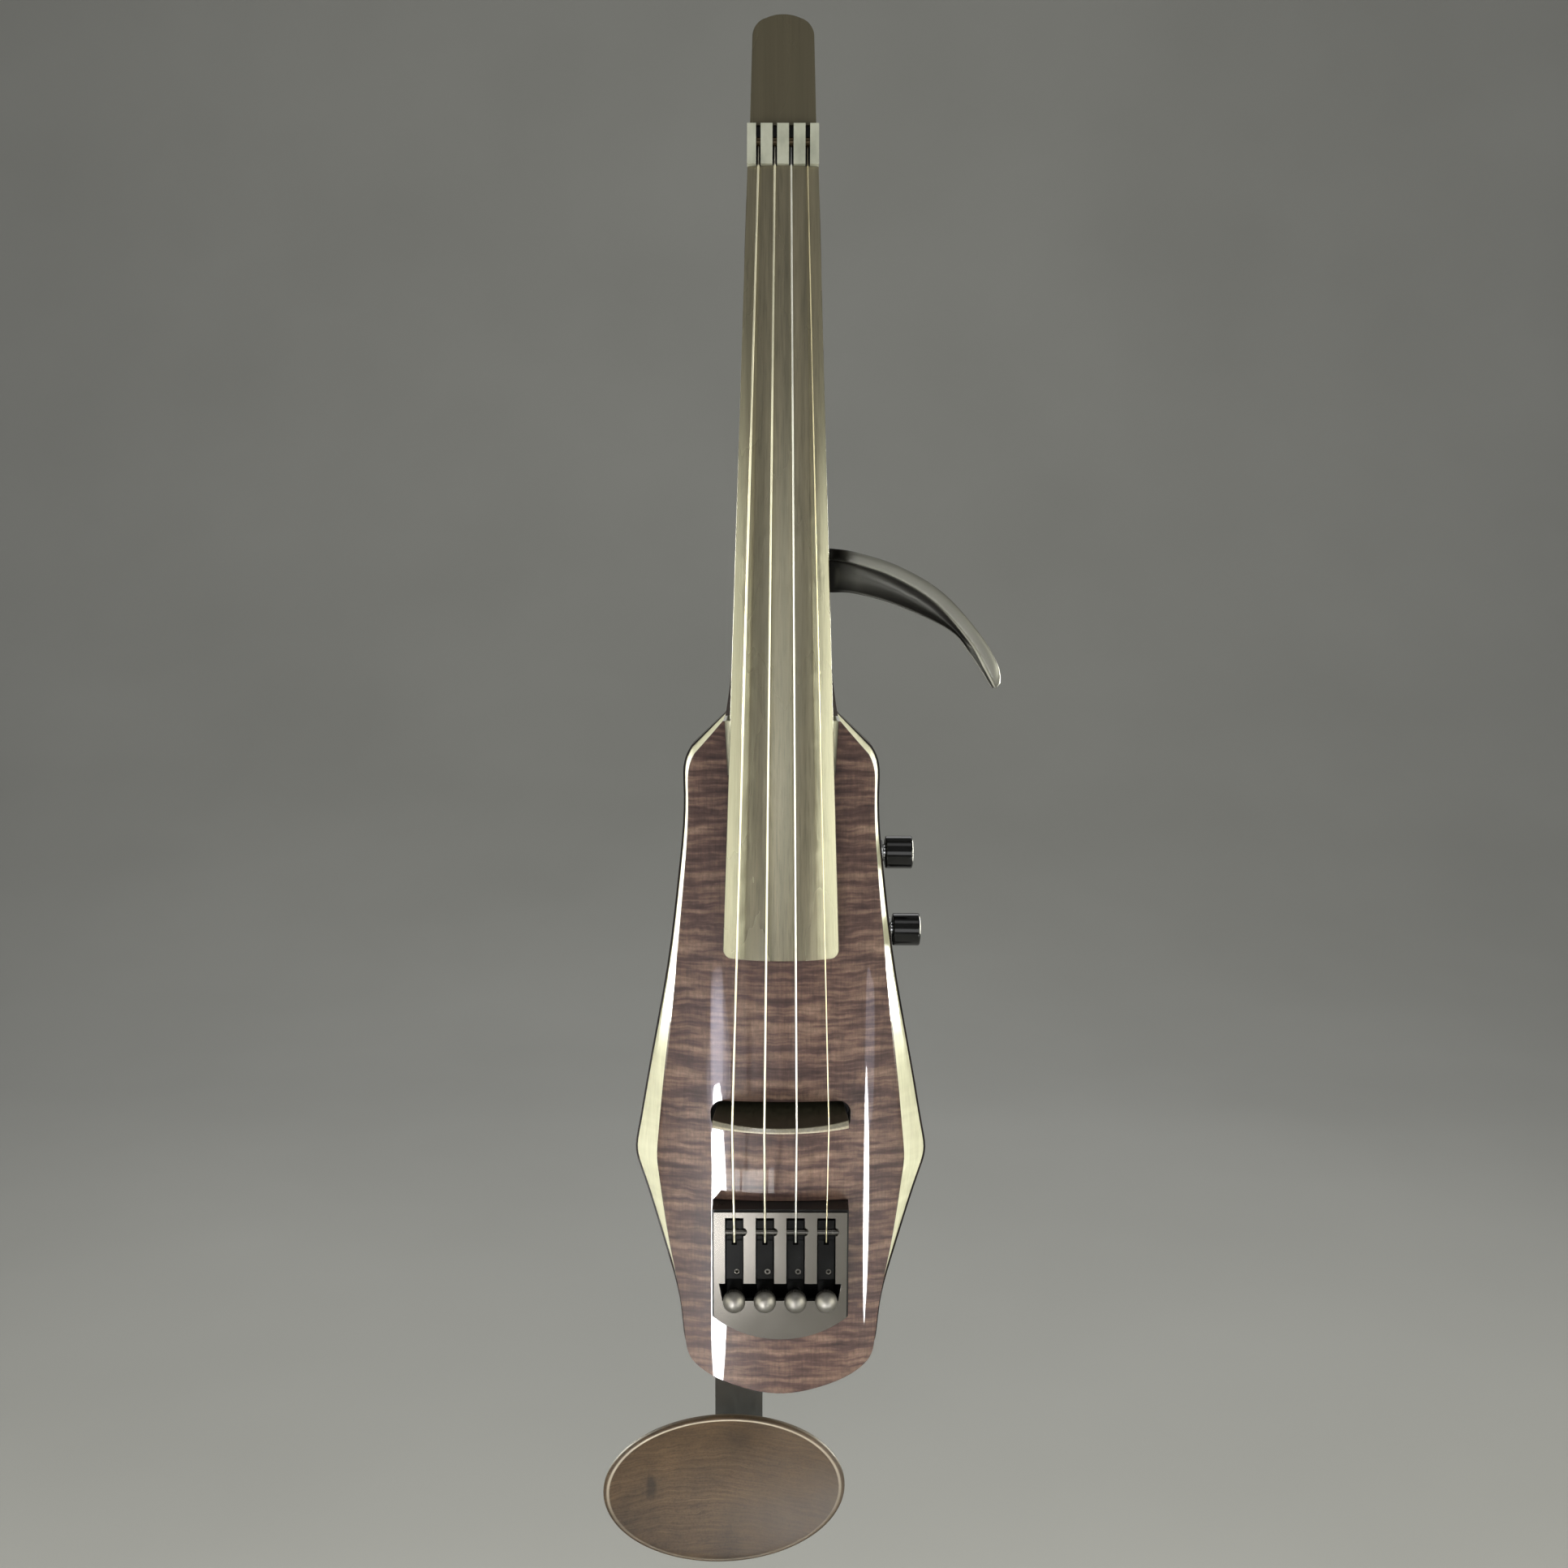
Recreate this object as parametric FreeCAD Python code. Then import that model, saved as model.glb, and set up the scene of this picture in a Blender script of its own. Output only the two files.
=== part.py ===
"""Headless solid-body electric violin with chin rest and hand rest, in millimetres.

X is the player's-view right, +Y the back of the instrument, +Z runs up the neck.
The origin lies on the back of the neck, where a hanger holds it.
"""
import math
import os

import FreeCAD
import Part

V = FreeCAD.Vector
X = V(1, 0, 0)
Y = V(0, 1, 0)
Z = V(0, 0, 1)

# --- strings -------------------------------------------------------------
NUT_Z = 53.0
SCALE_LENGTH = 328.0
BRIDGE_Z = NUT_Z - SCALE_LENGTH
STRINGS = ("g", "d", "a", "e")
STRING_R = (0.40, 0.39, 0.34, 0.20)
NUT_PITCH = 5.5
BRIDGE_PITCH = 34.0 / 3.0
TAIL_PITCH = 11.0
PLAYING_ARC_R = 42.0
NUT_STRING_Y = -18.05
BRIDGE_STRING_Y = -36.2

# --- neck, fingerboard and head --------------------------------------------
BOARD_CREST_Y0 = -19.5
BOARD_CREST_SLOPE = 0.042
BOARD_END_Z = -216.0
BOARD_TOP_Z = 54.0
BOARD_HALF_NUT = 12.0
BOARD_HALF_END = 20.4
BOARD_CORNER_R = 3.0
JOINT_Y_NUT = -11.5
JOINT_SLOPE = 0.029
TENON_HALF = 14.0
TENON_END_Z = -170.0
TENON_BACK_Y = 4.0
NUT_BLOCK_TOP_Z = 67.0
NUT_BLOCK_FRONT_Y = -19.7
NUT_SLOT_W = 1.5
BALL_Z = 62.0
BALL_Y = -15.2
BALL_R = 1.6
HEAD_TOP_Z = 102.4
HEAD_CAP_FRONT_Y = -16.8

# --- body ------------------------------------------------------------------
BODY_TOP_Z = -131.0
CORE_FRONT_Y = -4.0
BODY_BACK_Y = 14.0
ARCH_R = 160.0
ARCH_CREST_Y = -17.8
VENEER_T = 0.8
LEDGE = 0.7
TIP = (19.8, BODY_TOP_Z)
OUTER = (
    (31.8, -143.2), (33.9, -147.5), (34.5, -158), (36.5, -189), (40.3, -220), (44.7, -245),
    (49.0, -268.5), (51.9, -285), (52.8, -292.5), (50.8, -300.5), (46.9, -313),
    (41.2, -333), (37.0, -350), (35.6, -362), (34.0, -369), (29.5, -373.7),
    (16.0, -379.6), (0.0, -382.3),
)
VENEER_TIP = (20.6, -133.4)
VENEER = (
    (30.6, -144.6), (32.4, -148.6), (33.0, -158.4), (34.6, -189), (37.5, -220), (40.0, -245),
    (42.2, -268), (43.4, -285), (43.8, -293), (43.5, -300), (42.4, -312),
    (39.4, -332), (36.2, -349.4), (34.9, -361.6), (33.3, -368.3), (29.0, -372.8),
    (15.8, -378.6), (0.0, -381.2),
)

# --- bridge ------------------------------------------------------------------
POCKET_HALF = 25.3
POCKET_Z = (-281.2, -270.2)
POCKET_FLOOR_Y = -4.5
BRIDGE_HALF = 24.2
BRIDGE_FOOT_Y = -7.0

# --- tail unit -----------------------------------------------------------------
TAIL_HALF = 24.5
TAIL_TOP_Z = -307.5
TAIL_SIDE_Z = -347.4
TAIL_LOW_Z = -356.4
TAIL_SEAT_Y = -12.0
TAIL_FLOOR_Y = -15.0
TAIL_PLATE_Y = -25.6
TAIL_FACE_Y = -26.8
PLATE_INSET = 0.6
WINDOW_HALF = 3.3
WINDOW_Z = (-334.8, -310.2)
TRENCH_LOW_Z = -341.2
TRENCH_HALF = 20.8
PIVOT_Y = -25.0
PIVOT_Z = -316.0
PIVOT_R = 1.2
LEVER_HALF = 2.9
LEVER_TAIL_Z = -343.4
TUNER_Z = -340.5
TUNER_STEM_R = 1.25
TAIL_SCREWS = ((-16.5, -329.5), (16.5, -329.5), (-16.5, -313.0), (16.5, -313.0))

# --- controls and jack ------------------------------------------------------------
CONTROLS = (("volume", -182.7, 35.2, 28.2), ("tone", -211.5, 38.2, 30.2))
CONTROL_Y = 4.0
KNOB_R = 6.0
KNOB_LENGTH = 10.2
SHAFT_R = 2.5
BUSHING_R = 3.5
POT_R = 6.5
CAVITY_BACK_Y = 12.0
CAVITY_FLOOR_Y = -3.0
COVER_SCREWS = ((-15.3, -167.2), (27.4, -167.2), (31.3, -226.8), (-15.3, -226.8))
JACK_X = 4.2
JACK_Y = 4.5
JACK_SLEEVE_R = 4.1
JACK_BORE_R = 3.25
JACK_END_Z = -389.5
JACK_WELL_TOP_Z = -345.0
WIRE_R = 0.8

# --- hand rest -------------------------------------------------------------------
REST_FRONT_Y = -6.0
REST_WEB_Y = 2.5
REST_BACK_Y = 8.0
TONGUE = (7.0, 16.5, -9.5, -4.0, -85.5, -75.5)
REST_SCREW_X = 9.8
REST_SCREW_ZS = (-78.2, -82.8)
REST_SCREW_Y = -1.0
REST_OUTER = ((16.4, -72.6), (25.7, -73.9), (41.1, -78.7), (56.6, -87.8), (69.8, -101.9),
              (76.6, -113.0), (78.2, -118.4))
REST_INNER = ((16.4, -76.6), (25.8, -78.3), (39.6, -83.0), (54.2, -91.8), (66.8, -105.4),
              (72.4, -115.0), (75.3, -121.6))
REST_LOWER = ((16.4, -88.4), (26.0, -88.7), (41.5, -92.9), (60.2, -101.4), (67.3, -109.4),
              (75.3, -121.6))

# --- chin rest --------------------------------------------------------------------
CHIN_X = -20.5
CHIN_Z = -415.8
CHIN_A = 44.5
CHIN_B = 28.4
CHIN_TURN_DEG = -3.5
STRAP_X = -16.0
STRAP_HALF = 9.25
STRAP_T = 2.5
STRAP_Y = BODY_BACK_Y + 0.3
CHIN_SCREWS = ((STRAP_X - 4.5, -418.5), (STRAP_X + 4.5, -418.5), (STRAP_X, -426.5))
SLIDE_DOWN = 10.0
SLIDE_UP = 6.0
CLAMP_Z = -363.0
CLAMP_R = 2.5


# --- helpers ------------------------------------------------------------------------
def box(x0, x1, y0, y1, z0, z1):
    """Axis-aligned box between two corners."""
    return Part.makeBox(x1 - x0, y1 - y0, z1 - z0, V(x0, y0, z0))


def rod(start, direction, radius, length):
    """Cylinder from a start point along a direction."""
    return Part.makeCylinder(radius, length, V(*start), direction)


def ring(start, direction, outer, inner, length):
    """Tube from a start point along a direction."""
    return rod(start, direction, outer, length).cut(rod(start, direction, inner, length))


def fuse(shapes):
    """One solid from several overlapping shapes."""
    shapes = list(shapes)
    return shapes[0].multiFuse(shapes[1:]).removeSplitter()


def polygon(points):
    """Closed straight-sided wire."""
    return Part.makePolygon(list(points) + [points[0]])


def curve(points, parameters=None):
    """Smooth edge through the points."""
    spline = Part.BSplineCurve()
    if parameters:
        spline.interpolate(Points=points, Parameters=parameters)
    else:
        spline.interpolate(points)
    return spline.toShape()


def extrude_y(wire, y0, y1):
    """Solid between two depths from a closed wire drawn at y = 0."""
    face = Part.Face(wire)
    face.translate(V(0, y0, 0))
    return face.extrude(V(0, y1 - y0, 0))


def screw(start, direction, thread_r, length, head_r, head_t):
    """Flat-topped countersunk screw; start is the centre of the head's top."""
    head = Part.makeCone(head_r, thread_r, head_t, V(*start), direction)
    shank = rod(start, direction, thread_r, length)
    socket = hexagon(V(*start), direction, thread_r * 0.62, head_t * 0.7)
    return head.fuse(shank).removeSplitter().cut(socket)


def hexagon(start, direction, radius, length):
    """Hexagonal prism from a start point along a direction."""
    prism = Part.makePolygon([
        V(radius * math.cos(math.radians(60 * k)), radius * math.sin(math.radians(60 * k)), 0)
        for k in range(7)
    ])
    solid = Part.Face(prism).extrude(V(0, 0, length))
    solid.Placement = FreeCAD.Placement(start, FreeCAD.Rotation(Z, direction))
    return solid


def knurl(shape, start, direction, radius, length, count, depth):
    """Cuts equal grooves along a round knob."""
    base = FreeCAD.Placement(V(*start), FreeCAD.Rotation(Z, direction))
    cuts = []
    for k in range(count):
        angle = 2 * math.pi * k / count
        groove = Part.makeCylinder(depth, length, V(radius * math.cos(angle), radius * math.sin(angle), 0))
        groove.Placement = base.multiply(groove.Placement)
        cuts.append(groove)
    return shape.cut(Part.makeCompound(cuts))


def board_half(z):
    """Half width of the fingerboard."""
    return BOARD_HALF_NUT + (BOARD_HALF_END - BOARD_HALF_NUT) * (NUT_Z - z) / (NUT_Z - BOARD_END_Z)


def joint_y(z):
    """Depth of the plane where the fingerboard is glued to the neck."""
    return JOINT_Y_NUT + JOINT_SLOPE * (z - NUT_Z)


def playing_arc(x, crest):
    """Depth of the arched playing surface at x."""
    return crest + PLAYING_ARC_R - math.sqrt(PLAYING_ARC_R ** 2 - x ** 2)


def arch_y(x):
    """Depth of the body's arched front at x."""
    return ARCH_CREST_Y + ARCH_R - math.sqrt(ARCH_R ** 2 - x ** 2)


def lane(index, pitch):
    """X of a string lane, counted from the left."""
    return (index - 1.5) * pitch


# --- body -----------------------------------------------------------------------------
def inset(points, distance):
    """Half outline moved inwards along its own normals; the top edge and centre line stay put."""
    moved = []
    for k, (x, z) in enumerate(points):
        before = points[max(k - 1, 0)]
        after = points[min(k + 1, len(points) - 1)]
        dx = after[0] - before[0]
        dz = after[1] - before[1]
        length = math.hypot(dx, dz)
        if k == len(points) - 1:
            moved.append((0.0, z + distance))
        elif k == 0:
            moved.append((x - distance * 0.4, z))
        else:
            moved.append((x + distance * dz / length, z - distance * dx / length))
    return moved


def body_wire(points, y):
    """Closed symmetric outline; points run from the right tip to the bottom centre."""
    tip = points[0]
    side = points[1:]
    steps = [0.0]
    for a, b in zip(OUTER, OUTER[1:]):
        steps.append(steps[-1] + math.hypot(b[0] - a[0], b[1] - a[1]))
    steps += [2 * steps[-1] - step for step in reversed(steps[:-1])]
    points = [V(x, y, z) for x, z in side] + [V(-x, y, z) for x, z in reversed(side[:-1])]
    return Part.Wire(Part.__sortEdges__([
        Part.makeLine(V(-tip[0], y, tip[1]), V(tip[0], y, tip[1])),
        Part.makeLine(V(tip[0], y, tip[1]), points[0]),
        curve(points, steps),
        Part.makeLine(points[-1], V(-tip[0], y, tip[1])),
    ]))


def bevelled_front():
    """Front half of the body: wide at the core, narrowing along the carved bevel."""
    top_y = -20.0
    outer = (TIP,) + OUTER
    veneer = (VENEER_TIP,) + VENEER
    top = []
    for (xo, zo), (xi, zi) in zip(outer, veneer):
        k = (CORE_FRONT_Y - top_y) / (CORE_FRONT_Y - arch_y(xi))
        top.append((xo + k * (xi - xo), zo + k * (zi - zo)))
    top[0] = (top[0][0], BODY_TOP_Z - 2.5)
    return Part.makeLoft([body_wire(top, top_y), body_wire(outer, CORE_FRONT_Y)], True, True)


def tail_pocket():
    """Recess that seats the tail unit."""
    return extrude_y(tail_outline(0.15), -30, TAIL_SEAT_Y)


def bridge_pocket():
    """Rounded slot the bridge stands in."""
    low, high = POCKET_Z
    r = 4.5
    slot = box(-POCKET_HALF, POCKET_HALF, -30, POCKET_FLOOR_Y, low, high)
    upright = [e for e in slot.Edges if e.Length > 20 and abs(e.tangentAt(0).y) > 0.9]
    return slot.makeFillet(r, upright)


def tenon_pocket():
    """Slot in the body for the neck's tenon."""
    return box(-TENON_HALF, TENON_HALF, -30, TENON_BACK_Y, TENON_END_Z, BODY_TOP_Z + 1)


def front_layers():
    """Figured veneer and the pale maple layer under it."""
    front = bevelled_front()
    arch = rod((0, ARCH_CREST_Y + ARCH_R, -400), Z, ARCH_R, 300)
    under = rod((0, ARCH_CREST_Y + ARCH_R, -400), Z, ARCH_R - VENEER_T, 300)
    openings = [tenon_pocket(), bridge_pocket(), tail_pocket()]
    shaped = front.common(arch)
    veneer = shaped.cut(under)
    neck_gap = extrude_y(polygon([
        V(-20.1, 0, -130), V(20.1, 0, -130), V(18.9, 0, -152), V(-18.9, 0, -152),
    ]), -30, 0)
    veneer = veneer.cut(Part.makeCompound(openings[1:]))
    veneer = veneer.cut(neck_gap).cut(openings[0])
    maple = shaped.common(under)
    for tool in openings:
        maple = maple.cut(tool)
    maple = maple.cut(rod((JACK_X, -6, (POCKET_Z[0] + POCKET_Z[1]) / 2), Y, 1.4, 8))
    for x, z in TAIL_SCREWS:
        maple = maple.cut(rod((x, TAIL_SEAT_Y - 1, z), Y, 1.5, TAIL_FLOOR_Y + 9.5 - TAIL_SEAT_Y + 1))
    return veneer, maple


def control_cavity():
    """Space for the controls, open at the back."""
    return extrude_y(polygon([
        V(-14, 0, -168), V(27.1, 0, -168), V(31.2, 0, -226), V(-14, 0, -226),
    ]), CAVITY_FLOOR_Y, BODY_BACK_Y + 1)


def cover_outline(gap):
    """Plan of the cavity cover's seat."""
    return polygon([
        V(-17 + gap, 0, -165.5 - gap), V(29 - gap, 0, -165.5 - gap),
        V(33 - gap, 0, -228.5 + gap), V(-17 + gap, 0, -228.5 + gap),
    ])


def body_core():
    """Dark rear half of the body with its cavity, wells and bores."""
    outline = inset((TIP,) + OUTER, -LEDGE)
    straight = extrude_y(body_wire(outline, 0), CORE_FRONT_Y, 8.0)
    back = Part.makeLoft([
        body_wire(outline, 8.0), body_wire(inset(outline, 1.1), 11.6),
        body_wire(inset(outline, 3.2), BODY_BACK_Y),
    ], True, True)
    core = fuse([straight, back])
    core = core.cut(tenon_pocket())
    core = core.cut(control_cavity())
    core = core.cut(extrude_y(cover_outline(0), CAVITY_BACK_Y, BODY_BACK_Y + 1))
    for x, z in COVER_SCREWS:
        core = core.cut(rod((x, 5, z), Y, 1.12, 8))
    for name, z, face_x, wall_x in CONTROLS:
        core = core.cut(rod((20, CONTROL_Y, z), X, BUSHING_R + 0.08, 30))
        core = core.cut(rod((face_x, CONTROL_Y, z), X, 6.6, 10))
    core = core.cut(rod((JACK_X, JACK_Y, JACK_WELL_TOP_Z), -Z, 5.4, 50))
    core = core.cut(rod((JACK_X, JACK_Y, -379.4), -Z, 7.2, 10))
    core = core.cut(rod((JACK_X, JACK_Y, -225), -Z, 2.2, 125))
    core = core.cut(rod((JACK_X, CORE_FRONT_Y - 1, (POCKET_Z[0] + POCKET_Z[1]) / 2), Y, 1.4, 9))
    core = core.cut(rod((STRAP_X, BODY_BACK_Y, CLAMP_Z), -Y, 4.0, 10))
    return core


# --- neck -------------------------------------------------------------------------------
def neck_section(z, half, front, back):
    """D-shaped section: flat under the fingerboard, round at the back."""
    side_y = front + 2.0
    depth = back - side_y
    points = []
    for k in range(9):
        angle = math.pi * k / 8
        c = math.cos(angle)
        s = math.sin(angle)
        x = half * math.copysign(abs(c) ** 0.85, c)
        points.append(V(x, side_y + depth * abs(s) ** 0.85, z))
    return Part.Wire([
        Part.makeLine(V(-half, side_y, z), V(-half, front, z)),
        Part.makeLine(V(-half, front, z), V(half, front, z)),
        Part.makeLine(V(half, front, z), V(half, side_y, z)),
        curve(points),
    ])


def head_plan(gap=0.0):
    """Head outline: straight taper closed by a low arc with round corners."""
    top = HEAD_TOP_Z - gap
    right = [V(11.1, 0, NUT_BLOCK_TOP_Z), V(10.3, 0, 95.6)]
    edges = [
        Part.makeLine(V(-11.1, 0, NUT_BLOCK_TOP_Z), right[0]),
        Part.makeLine(right[0], right[1]),
        Part.Arc(right[1], V(8.9, 0, 99.2), V(5.8, 0, 101.2)).toShape(),
        Part.Arc(V(5.8, 0, 101.2), V(0, 0, top), V(-5.8, 0, 101.2)).toShape(),
        Part.Arc(V(-5.8, 0, 101.2), V(-8.9, 0, 99.2), V(-10.3, 0, 95.6)).toShape(),
        Part.makeLine(V(-10.3, 0, 95.6), V(-11.1, 0, NUT_BLOCK_TOP_Z)),
    ]
    return Part.Wire(edges)


def neck():
    """Neck with its heel, tenon and the wood of the head."""
    stations = ((54, -0.6), (0, 0.0), (-60, 1.0), (-95, 2.6), (-110, 5.2), (-122, 9.2), (-131, 13.8))
    shaft = Part.makeLoft([
        neck_section(z, board_half(z) + max(0, -z - 115) * 0.12, joint_y(z), back)
        for z, back in stations
    ], True, False)
    shaft = shaft.common(box(-40, 40, -40, 40, BODY_TOP_Z, 54))
    head = Part.makeLoft([
        neck_section(z, half, joint_y(z), back)
        for z, half, back in ((54, board_half(54), -0.6), (67, 11.1, -1.0), (104, 10.2, -3.4))
    ], True, True)
    collar = box(-13, 13, -20, 20, 54, NUT_BLOCK_TOP_Z)
    head = head.common(fuse([extrude_y(head_plan(), -20, 20), collar]))
    front = joint_y(TENON_END_Z)
    side = polygon([
        V(-TENON_HALF, joint_y(BODY_TOP_Z), BODY_TOP_Z), V(-TENON_HALF, TENON_BACK_Y, BODY_TOP_Z),
        V(-TENON_HALF, TENON_BACK_Y, TENON_END_Z), V(-TENON_HALF, front, TENON_END_Z),
    ])
    tenon = Part.Face(side).extrude(V(2 * TENON_HALF, 0, 0))
    solid = fuse([shaft, head, tenon])
    x0, x1, y0, y1, z0, z1 = TONGUE
    solid = solid.cut(box(x0, x1 + 10, y0, y1, z0, z1))
    for z in REST_SCREW_ZS:
        solid = solid.cut(rod((REST_SCREW_X, y1 - 1, z), Y, 1.25, 12))
        solid = solid.cut(rod((REST_SCREW_X, REST_SCREW_Y - 1.4, z), Y, 2.4, 12))
    return solid


def fingerboard():
    """Arched fretless fingerboard, hollowed under its free end."""
    def section(z):
        half = board_half(z) + 0.8
        crest = BOARD_CREST_Y0 + BOARD_CREST_SLOPE * z
        edge = playing_arc(half, crest)
        low = joint_y(z)
        return Part.Wire([
            Part.Arc(V(-half, edge, z), V(0, crest, z), V(half, edge, z)).toShape(),
            Part.makeLine(V(half, edge, z), V(half, low, z)),
            Part.makeLine(V(half, low, z), V(-half, low, z)),
            Part.makeLine(V(-half, low, z), V(-half, edge, z)),
        ])

    slab = Part.makeLoft([section(BOARD_END_Z), section(BOARD_TOP_Z)], True, True)
    r = BOARD_CORNER_R
    side_z = BOARD_END_Z + r
    corner = r * (1 - math.sqrt(0.5))
    end = BOARD_HALF_END
    edges = [
        Part.makeLine(V(-BOARD_HALF_NUT, 0, BOARD_TOP_Z), V(BOARD_HALF_NUT, 0, BOARD_TOP_Z)),
        Part.makeLine(V(BOARD_HALF_NUT, 0, BOARD_TOP_Z), V(end, 0, side_z)),
        Part.Arc(V(end, 0, side_z), V(end - corner, 0, BOARD_END_Z + corner),
                 V(end - r, 0, BOARD_END_Z)).toShape(),
        Part.makeLine(V(end - r, 0, BOARD_END_Z), V(r - end, 0, BOARD_END_Z)),
        Part.Arc(V(r - end, 0, BOARD_END_Z), V(corner - end, 0, BOARD_END_Z + corner),
                 V(-end, 0, side_z)).toShape(),
        Part.makeLine(V(-end, 0, side_z), V(-BOARD_HALF_NUT, 0, BOARD_TOP_Z)),
    ]
    solid = slab.common(extrude_y(Part.Wire(edges), -40, 0))
    hollow_r = 34.0
    rise = 4.0
    slope = V(0, JOINT_SLOPE, 1).normalize()
    start = V(0, joint_y(BOARD_END_Z) - rise + hollow_r, BOARD_END_Z) - slope * 2
    return solid.cut(Part.makeCylinder(hollow_r, BOARD_END_Z * -1 + TENON_END_Z - 2, start, slope))


def nut_block():
    """Metal string anchor: five pads with four slots over a cross bore for the ball ends."""
    block = box(-BOARD_HALF_NUT, BOARD_HALF_NUT, NUT_BLOCK_FRONT_Y, joint_y(60), BOARD_TOP_Z,
                NUT_BLOCK_TOP_Z)
    wedge = Part.Face(polygon([
        V(-20, joint_y(BOARD_TOP_Z), BOARD_TOP_Z), V(-20, joint_y(NUT_BLOCK_TOP_Z), NUT_BLOCK_TOP_Z),
        V(-20, 0, NUT_BLOCK_TOP_Z), V(-20, 0, BOARD_TOP_Z),
    ])).extrude(V(40, 0, 0))
    block = block.cut(wedge)
    half = NUT_SLOT_W / 2
    for k in range(4):
        x = lane(k, NUT_PITCH)
        lip_y = playing_arc(x, NUT_STRING_Y) + STRING_R[k]
        block = block.cut(box(x - half, x + half, -25, lip_y, BOARD_TOP_Z - 1, 57))
        block = block.cut(box(x - half, x + half, -25, BALL_Y + 1.0, 55.4, NUT_BLOCK_TOP_Z + 1))
    return block.cut(rod((-10.6, BALL_Y, BALL_Z), X, BALL_R + 0.25, 21.2))


def head_cap():
    """Dark plate glued on the head."""
    plate = extrude_y(head_plan(), HEAD_CAP_FRONT_Y, 0)
    below = Part.Face(polygon([
        V(-20, joint_y(NUT_BLOCK_TOP_Z), NUT_BLOCK_TOP_Z), V(-20, joint_y(110), 110),
        V(-20, 10, 110), V(-20, 10, NUT_BLOCK_TOP_Z),
    ])).extrude(V(40, 0, 0))
    return plate.cut(below)


# --- strings ---------------------------------------------------------------------------------
def string_points(k):
    """Corner points of one string from its ball end to the tuning lever."""
    r = STRING_R[k]
    nut_x = lane(k, NUT_PITCH)
    bridge_x = lane(k, BRIDGE_PITCH)
    tail_x = lane(k, TAIL_PITCH)
    pin_y = PIVOT_Y - PIVOT_R - r
    return [
        V(nut_x, BALL_Y, BALL_Z - 1.0),
        V(nut_x, playing_arc(nut_x, NUT_STRING_Y), BOARD_TOP_Z + 1.2),
        V(bridge_x, playing_arc(bridge_x, BRIDGE_STRING_Y), BRIDGE_Z),
        V(tail_x, pin_y, PIVOT_Z),
        V(tail_x, PIVOT_Y - 0.6, PIVOT_Z - 3.6),
    ]


def string(k):
    """One string as straight runs joined by balls at its corners."""
    points = string_points(k)
    parts = []
    for a, b in zip(points, points[1:]):
        parts.append(Part.makeCylinder(STRING_R[k], (b - a).Length, a, b - a))
    for p in points[1:-1]:
        parts.append(Part.makeSphere(STRING_R[k], p))
    return fuse(parts)


def string_ball_ends():
    """Brass ball ends held in the nut block."""
    balls = []
    for k in range(4):
        x = lane(k, NUT_PITCH)
        ball = rod((x - 1.5, BALL_Y, BALL_Z), X, BALL_R, 3.0)
        start = string_points(k)
        reach = rod((x, BALL_Y, BALL_Z - 1.0), start[1] - start[0], STRING_R[k] + 0.01, 3)
        balls.append(ball.cut(reach))
    return Part.makeCompound(balls)


# --- bridge ----------------------------------------------------------------------------------
def bridge():
    """Arched bridge, tapering towards its crown."""
    centre_y = BRIDGE_STRING_Y + PLAYING_ARC_R
    top_r = PLAYING_ARC_R - 0.5
    corner_y = centre_y - math.sqrt(top_r ** 2 - BRIDGE_HALF ** 2)
    foot = 22.6
    edges = [
        Part.makeLine(V(-foot, BRIDGE_FOOT_Y, 0), V(foot, BRIDGE_FOOT_Y, 0)),
        Part.makeLine(V(foot, BRIDGE_FOOT_Y, 0), V(BRIDGE_HALF, corner_y, 0)),
        Part.Arc(V(BRIDGE_HALF, corner_y, 0), V(0, centre_y - top_r, 0), V(-BRIDGE_HALF, corner_y, 0)).toShape(),
        Part.makeLine(V(-BRIDGE_HALF, corner_y, 0), V(-foot, BRIDGE_FOOT_Y, 0)),
    ]
    front = Part.Face(Part.Wire(edges))
    front.translate(V(0, 0, BRIDGE_Z - 10))
    profile = Part.Face(polygon([
        V(-30, BRIDGE_FOOT_Y + 1, BRIDGE_Z + 2.6), V(-30, BRIDGE_FOOT_Y + 1, BRIDGE_Z - 3.0),
        V(-30, -37, BRIDGE_Z - 0.9), V(-30, -37, BRIDGE_Z + 0.9),
    ])).extrude(V(60, 0, 0))
    return front.extrude(V(0, 0, 20)).common(profile)


def bridge_pickup():
    """Pickup bar under the bridge's foot."""
    low, high = POCKET_Z
    bar = box(-22.8, 22.8, BRIDGE_FOOT_Y, POCKET_FLOOR_Y, low + 1.4, high - 1.0)
    return bar.makeFillet(0.8, [e for e in bar.Edges if abs(e.tangentAt(0).y) > 0.9])


# --- tail unit -------------------------------------------------------------------------------------
def tail_outline(grow=0.0):
    """Plan of the tail unit: square top, bowed foot."""
    half = TAIL_HALF + grow
    top = TAIL_TOP_Z + grow
    low = TAIL_LOW_Z - grow
    return Part.Wire([
        Part.makeLine(V(-half, 0, top), V(half, 0, top)),
        Part.makeLine(V(half, 0, top), V(half, 0, TAIL_SIDE_Z)),
        Part.Arc(V(half, 0, TAIL_SIDE_Z), V(0, 0, low), V(-half, 0, TAIL_SIDE_Z)).toShape(),
        Part.makeLine(V(-half, 0, TAIL_SIDE_Z), V(-half, 0, top)),
    ])


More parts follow.
